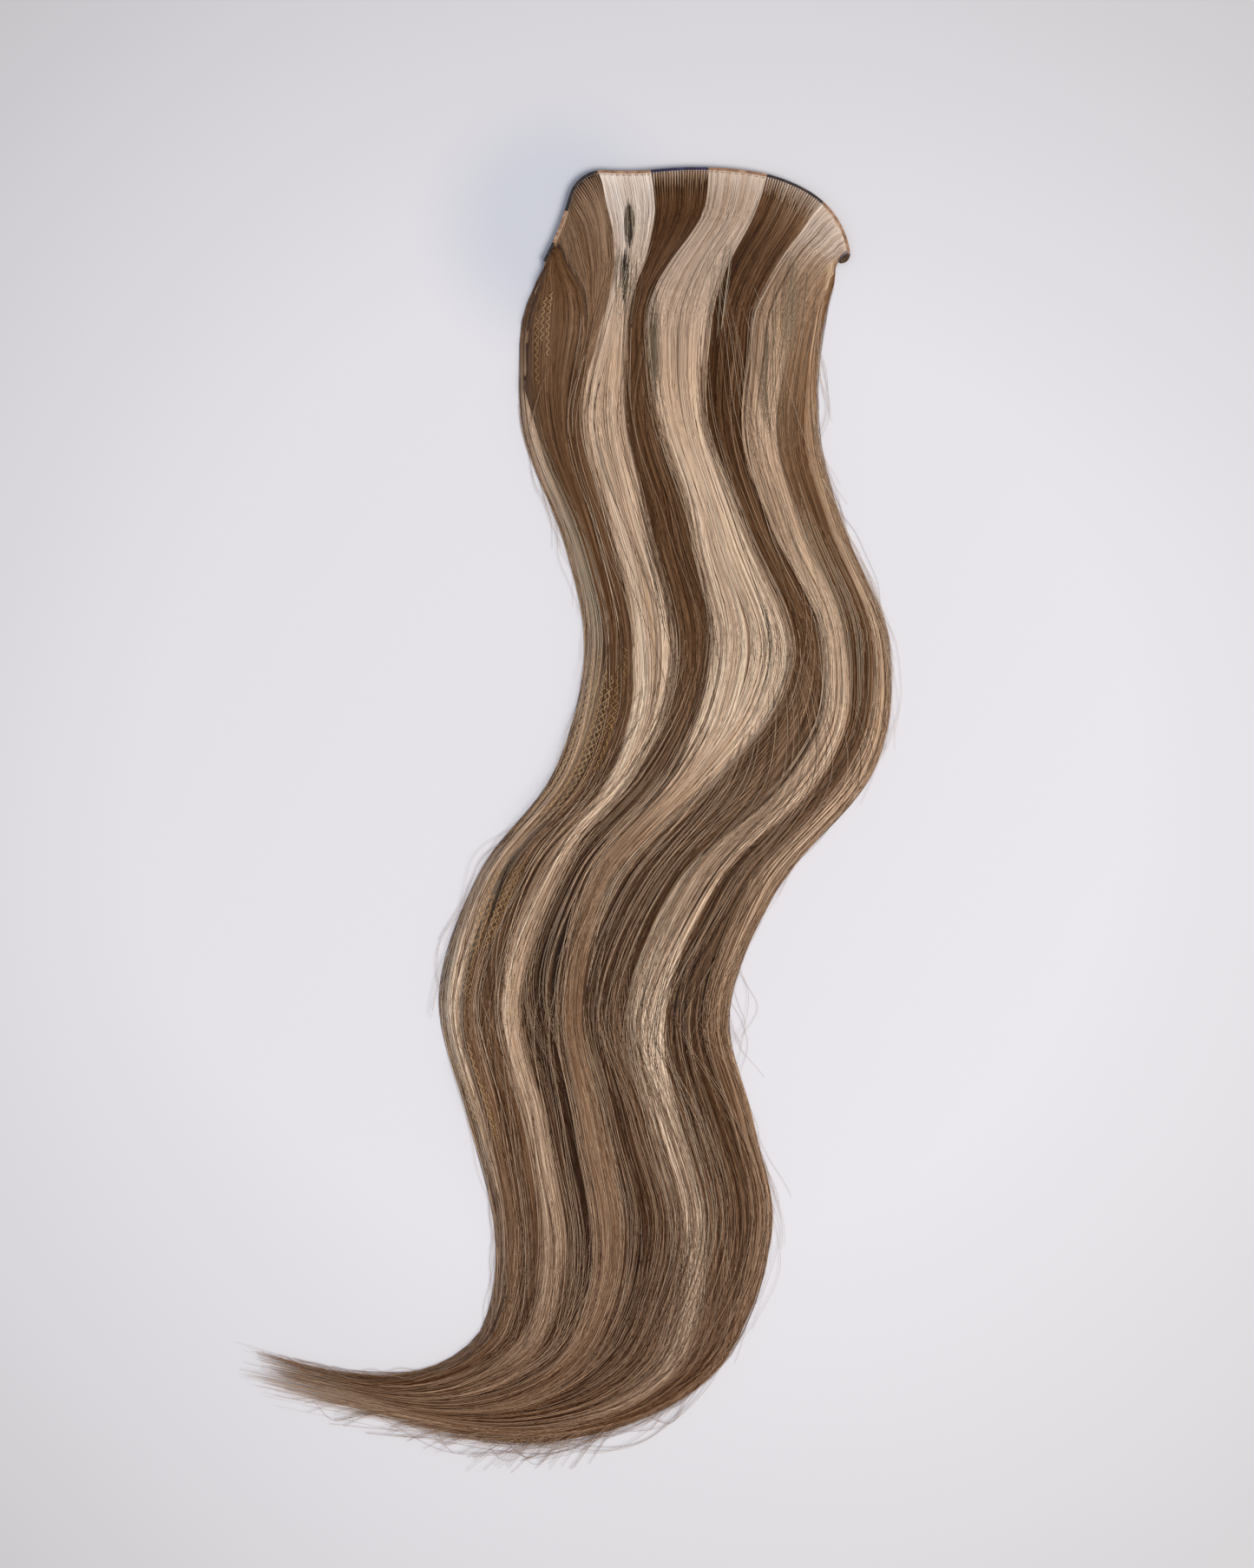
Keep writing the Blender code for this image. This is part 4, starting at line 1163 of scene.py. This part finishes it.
WANDERERS = [
    dict(start=0.04, finish=0.40, at=0.50, to=0.50, spread=0.30, count=60, cross=0.008),
    dict(start=0.28, finish=0.66, at=0.50, to=0.50, spread=0.30, count=230, cross=0.025),
    dict(start=0.50, finish=0.90, at=0.50, to=0.50, spread=0.30, count=260, cross=0.035),
    dict(start=0.66, finish=1.00, at=0.50, to=0.50, spread=0.30, count=200, cross=0.06),
    dict(start=0.10, finish=0.62, at=0.00, to=0.00, spread=0.006, count=50, cross=0.010),
    dict(start=0.50, finish=0.96, at=0.00, to=0.00, spread=0.006, count=50, cross=0.010),
    dict(start=0.06, finish=0.60, at=1.00, to=1.00, spread=0.006, count=50, cross=0.010),
    dict(start=0.50, finish=0.98, at=1.00, to=1.00, spread=0.006, count=50, cross=0.010),
]
WANDER_POINTS = 30
OVER_LIFT = 0.00025


def mixed_tones(rng, down, chance, pale, dark):
    # A tone for each hair, pale or dark by chance and a little off
    tone = np.where(rng.uniform(0, 1, (len(down), 1)) < chance, pale, dark)
    return tone + rng.uniform(-0.12, 0.12, (len(down), 1)) + 0 * down


wander_rng = np.random.default_rng(380)
wander_parts = []
for row in WANDERERS:
    lines, downs, sizes = lay_over(wander_rng, row, WANDER_POINTS, OVER_LIFT)
    tones = mixed_tones(wander_rng, downs, 0.55, 0.66, 0.14)
    wander_parts.append((lines, tones, downs, LOOSE_THICKNESS / 2 * sizes))
joined_piece("strands_wandering", wander_parts, "blonde")


# Hairs across the partings.
# Where two locks meet, some hairs of each have slipped over the other's edge, so the stripes
# blend over a millimetre or two. They are drawn 0.18 mm thick, so they show.

PARTINGS = ("r1", "r3", "r4", "r5", "r6", "r7")
PARTING_HAIRS = 84
PARTING_REACH = 0.0015
PARTING_POINTS = 24
PARTING_THICKNESS = 0.00018
parting_rng = np.random.default_rng(390)
parting_parts = []
t = np.linspace(0.0, 1.0, PARTING_POINTS)
for name in PARTINGS:
    start = parting_rng.uniform(0.03, 0.80, (PARTING_HAIRS, 1))
    down = start + parting_rng.uniform(0.07, 0.20, (PARTING_HAIRS, 1)) * t
    first, last = parting_rng.normal(0, PARTING_REACH, (2, PARTING_HAIRS, 1))
    share = edge_at(name, down) + (first + (last - first) * t) / hair_width(down)
    height = over_height(down, share, t, OVER_LIFT)
    points = np.concatenate([hair_place(down, share), height[..., None]], -1)
    tones = mixed_tones(parting_rng, down, 0.5, 0.72, 0.24)
    thickness = PARTING_THICKNESS / 2 * pointed(t) + 0 * down
    parting_parts.append((points, tones, down, thickness))
joined_piece("strands_partings", parting_parts, "blonde")


# Crinkled golden strands.
# A few thin hairs on the left side were curled tight and stayed golden: they zigzag along the
# others, 0.3 mm to each side every 1.3 mm. They are drawn 0.24 mm thick and swing 0.55 mm to
# each side every 2.8 mm, so it shows.

CRINKLES = [
    dict(start=0.078, finish=0.135, at=0.052, to=0.072, count=3, spread=0.016),
    dict(start=0.315, finish=0.435, at=0.095, to=0.075, count=11, spread=0.045),
    dict(start=0.475, finish=0.560, at=0.065, to=0.090, count=9, spread=0.040),
    dict(start=0.600, finish=0.660, at=0.060, to=0.055, count=5, spread=0.030),
]
CRINKLE_WAVE = 0.0028
CRINKLE_REACH = 0.00055
CRINKLE_THICKNESS = 0.00024
CRINKLE_POINTS = 120
HAIR_LENGTH = 0.56
GOLD = ("7d5a34", "aa8250", "c69e6c", "debb8c")
hair_finishes["golden"] = hair_material("golden_crinkled_hair", 0.40, GOLD, GOLD, GOLD)
SLOTS["golden"] = "blonde_hair"
crinkle_rng = np.random.default_rng(400)
crinkle_lines = []
crinkle_downs = []
for row in CRINKLES:
    span = row["finish"] - row["start"]
    for i in range(row["count"]):
        start = row["start"] + crinkle_rng.uniform(-0.01, 0.02)
        length = span * crinkle_rng.uniform(0.45, 1.0)
        down = np.linspace(start, start + length, CRINKLE_POINTS)
        along = (down - row["start"]) / span
        share = row["at"] + (row["to"] - row["at"]) * along + crinkle_rng.normal(0, row["spread"])
        turn = 2 * math.pi * down * HAIR_LENGTH / CRINKLE_WAVE + crinkle_rng.uniform(0, 6)
        swing = CRINKLE_REACH * np.sin(turn) / hair_width(down)
        share = np.clip(share + swing, 0.004, 0.3)
        height = lock_skin(locks_by_name["brown_1"], down, np.maximum(share, 0.06)) + 0.0004 \
            + 0.0001 * np.cos(turn)
        crinkle_lines.append(np.column_stack([hair_place(down, share), height]))
        crinkle_downs.append(down)
crinkle_downs = np.array(crinkle_downs)
strand_piece(
    "strands_crinkled", np.array(crinkle_lines),
    crinkle_rng.uniform(0.2, 0.9, len(crinkle_downs))[:, None] + 0 * crinkle_downs,
    crinkle_downs, CRINKLE_THICKNESS / 2 + 0 * crinkle_downs, "golden")


# Flyaway hairs.
# Single hairs stray from both long edges and from the tail and lie on the table.
# They are 0.08 mm thick and drawn 0.12 mm, at the tail 0.16 mm, so they show.

FLYAWAYS = [
    dict(side=0, start=0.15, finish=0.34, reach=0.006, count=10),
    dict(side=0, start=0.24, finish=0.46, reach=0.004, count=8),
    dict(side=0, start=0.42, finish=0.60, reach=0.006, count=12),
    dict(side=0, start=0.60, finish=0.86, reach=0.003, count=8),
    dict(side=1, start=0.08, finish=0.24, reach=0.007, count=10),
    dict(side=1, start=0.20, finish=0.42, reach=0.007, count=12),
    dict(side=1, start=0.10, finish=0.40, reach=0.0025, count=44),
    dict(side=1, start=0.38, finish=0.62, reach=0.0020, count=20),
    dict(side=1, start=0.50, finish=0.66, reach=0.011, count=7),
    dict(side=1, start=0.60, finish=0.82, reach=0.008, count=14),
    dict(side=1, start=0.78, finish=1.00, reach=0.009, count=30),
    dict(side=1, start=0.80, finish=0.86, reach=0.006, count=16),
    dict(side=1, start=0.84, finish=0.90, reach=0.013, count=30),
    dict(side=1, start=0.87, finish=0.93, reach=0.014, count=34),
    dict(side=1, start=0.91, finish=0.97, reach=0.010, count=30),
    dict(side=1, start=0.95, finish=1.01, reach=0.008, count=24),
    dict(side=0, start=0.92, finish=1.00, reach=0.002, count=12),
    dict(side=0, start=0.84, finish=1.00, reach=0.0025, count=24),
]
FLYAWAY_RADIUS = 0.00006
FLYAWAY_TAIL_EXTRA = 0.00002
FLYAWAY_ROOT = 0.0015
FLYAWAY_POINTS = 40
flyaway_rng = np.random.default_rng(500)
flyaway_lines = []
flyaway_downs = []
t = np.linspace(0.0, 1.0, FLYAWAY_POINTS)
for row in FLYAWAYS:
    span = row["finish"] - row["start"]
    for i in range(row["count"]):
        start = row["start"] + span * flyaway_rng.uniform(0.0, 0.5)
        finish = start + span * flyaway_rng.uniform(0.35, 0.5)
        down = start + (finish - start) * t
        reach = row["reach"] * flyaway_rng.uniform(0.15, 1.0) ** 1.2
        loop = 0.55 if start < 0.80 else 0.15
        arch = np.sin(math.pi * t) if flyaway_rng.uniform() < loop else t ** 1.6
        wave = 0.0005 * np.sin(2 * math.pi * (2 * t + flyaway_rng.uniform(0, 1)))
        wave = wave * min(1.0, (finish - start) / 0.08)
        offset = -FLYAWAY_ROOT + (reach + FLYAWAY_ROOT) * arch + wave * arch
        edge = hair_place(down, float(row["side"]))
        ahead = np.gradient(edge, axis=0)
        ahead = ahead / np.linalg.norm(ahead, axis=1, keepdims=True)
        outward = np.column_stack([-ahead[:, 1], ahead[:, 0]]) * (2 * row["side"] - 1)
        height = 0.0022 - 0.0018 * ramp(arch, 0.6) + flyaway_rng.uniform(0, 0.0006)
        flyaway_lines.append(np.column_stack([edge + outward * offset[:, None], height]))
        flyaway_downs.append(down)
flyaway_downs = np.array(flyaway_downs)
flyaway_tones = flyaway_rng.uniform(0.40, 0.88, len(flyaway_downs))[:, None] + 0 * flyaway_downs
flyaway_sizes = FLYAWAY_RADIUS + FLYAWAY_TAIL_EXTRA * ramp(flyaway_downs - 0.78, 0.04)
strand_piece(
    "flyaways", np.array(flyaway_lines), flyaway_tones, flyaway_downs,
    flyaway_sizes * (1 - 0.4 * t), "brown")


# Floor, light and camera.
# A plain pale matt sheet, its colour greying towards its corners as painted shade of the light's
# falloff, with a faint blue painted shadow at the left end of the band, a big window far off to
# the lower right in a bright room, and a camera straight above, as the photograph has it.

FLOOR_SIZE = 6.0
VIEW_MIDDLE = (0.0206, 0.0064)
VIEW_HEIGHT = 0.5517
VIEW_LENS = 85.0
VIEW_PLANE = 0.004
SENSOR = 36.0
WINDOW_PLACE = (2.2, -1.4, 3.0)
WINDOW_SIZE = 2.1
WINDOW_POWER = 150.0
floor_mesh = bpy.data.meshes.new("floor")
half_floor = FLOOR_SIZE / 2
floor_mesh.from_pydata(
    [(-half_floor, -half_floor, 0), (half_floor, -half_floor, 0),
     (half_floor, half_floor, 0), (-half_floor, half_floor, 0)], [], [(0, 1, 2, 3)])
floor = bpy.data.objects.new("floor", floor_mesh)
bpy.context.scene.collection.objects.link(floor)
floor_material, floor_tree, floor_shader = new_material("matt_white_sheet", 0.8)
floor_place = add_node(floor_tree, "ShaderNodeTexCoord")
floor_clouds = add_node(
    floor_tree, "ShaderNodeTexNoise", dict(Scale=1 / 0.3, Detail=1.0),
    {"Vector": floor_place.outputs["Object"]})
# Painted shade: the sheet's colour greys, a little unevenly, with distance from the middle of the
# view
painted_falloff_distance = add_node(
    floor_tree, "ShaderNodeVectorMath", {1: (0.022, 0.006, 0.0)},
    {0: floor_place.outputs["Object"]}, operation="DISTANCE")
painted_falloff_uneven = add_node(
    floor_tree, "ShaderNodeMath", {1: 0.05}, {0: floor_clouds.outputs["Fac"],
                                              2: painted_falloff_distance.outputs["Value"]},
    operation="MULTIPLY_ADD")
painted_falloff_share = add_node(
    floor_tree, "ShaderNodeMapRange", {"From Min": 0.20, "From Max": 0.40},
    {"Value": painted_falloff_uneven.outputs[0]})
floor_painted_falloff = add_ramp(floor_tree, painted_falloff_share.outputs["Result"], ("d4d3d8", "c9c8cc", "bab9bb"))
# Painted shadow: a faint bluish patch on the sheet at the left end of the band
painted_shadow_distance = add_node(
    floor_tree, "ShaderNodeVectorMath", {1: (-0.004, 0.203, 0.0)},
    {0: floor_place.outputs["Object"]}, operation="DISTANCE")
floor_painted_shadow = add_node(
    floor_tree, "ShaderNodeMapRange",
    {"From Min": 0.018, "From Max": 0.055, "To Min": 0.52, "To Max": 0.0},
    {"Value": painted_shadow_distance.outputs["Value"]}, interpolation_type="SMOOTHSTEP")
floor_colour = add_node(
    floor_tree, "ShaderNodeMix", {7: linear("b0b7c4")},
    {0: floor_painted_shadow.outputs["Result"], 6: floor_painted_falloff}, data_type="RGBA")
floor_tree.links.new(floor_colour.outputs[2], floor_shader.inputs["Base Color"])
floor_mesh.materials.append(floor_material)

scene = bpy.context.scene
scene.view_settings.view_transform = "Standard"
world = bpy.data.worlds.new("bright_room")
world.use_nodes = True
world.node_tree.nodes["Background"].inputs["Color"].default_value = linear("ebeffa")
world.node_tree.nodes["Background"].inputs["Strength"].default_value = 0.64
scene.world = world

lamp = bpy.data.lights.new("window", "AREA")
lamp.shape = "SQUARE"
lamp.size = WINDOW_SIZE
lamp.energy = WINDOW_POWER
lamp.color = linear("fff8ee")[:3]
window = bpy.data.objects.new("window", lamp)
window.location = WINDOW_PLACE
aim = np.array([*VIEW_MIDDLE, 0.0]) - np.array(WINDOW_PLACE)
window.rotation_euler = (
    math.acos(-aim[2] / np.linalg.norm(aim)), 0.0, math.atan2(-aim[0], aim[1]))
scene.collection.objects.link(window)

camera = bpy.data.cameras.new("camera")
camera.sensor_fit = "VERTICAL"
camera.sensor_height = SENSOR
camera.lens = VIEW_LENS
camera.dof.use_dof = False
camera_item = bpy.data.objects.new("camera", camera)
camera_item.location = (*VIEW_MIDDLE, VIEW_PLANE + VIEW_HEIGHT * VIEW_LENS / SENSOR)
scene.collection.objects.link(camera_item)
scene.camera = camera_item
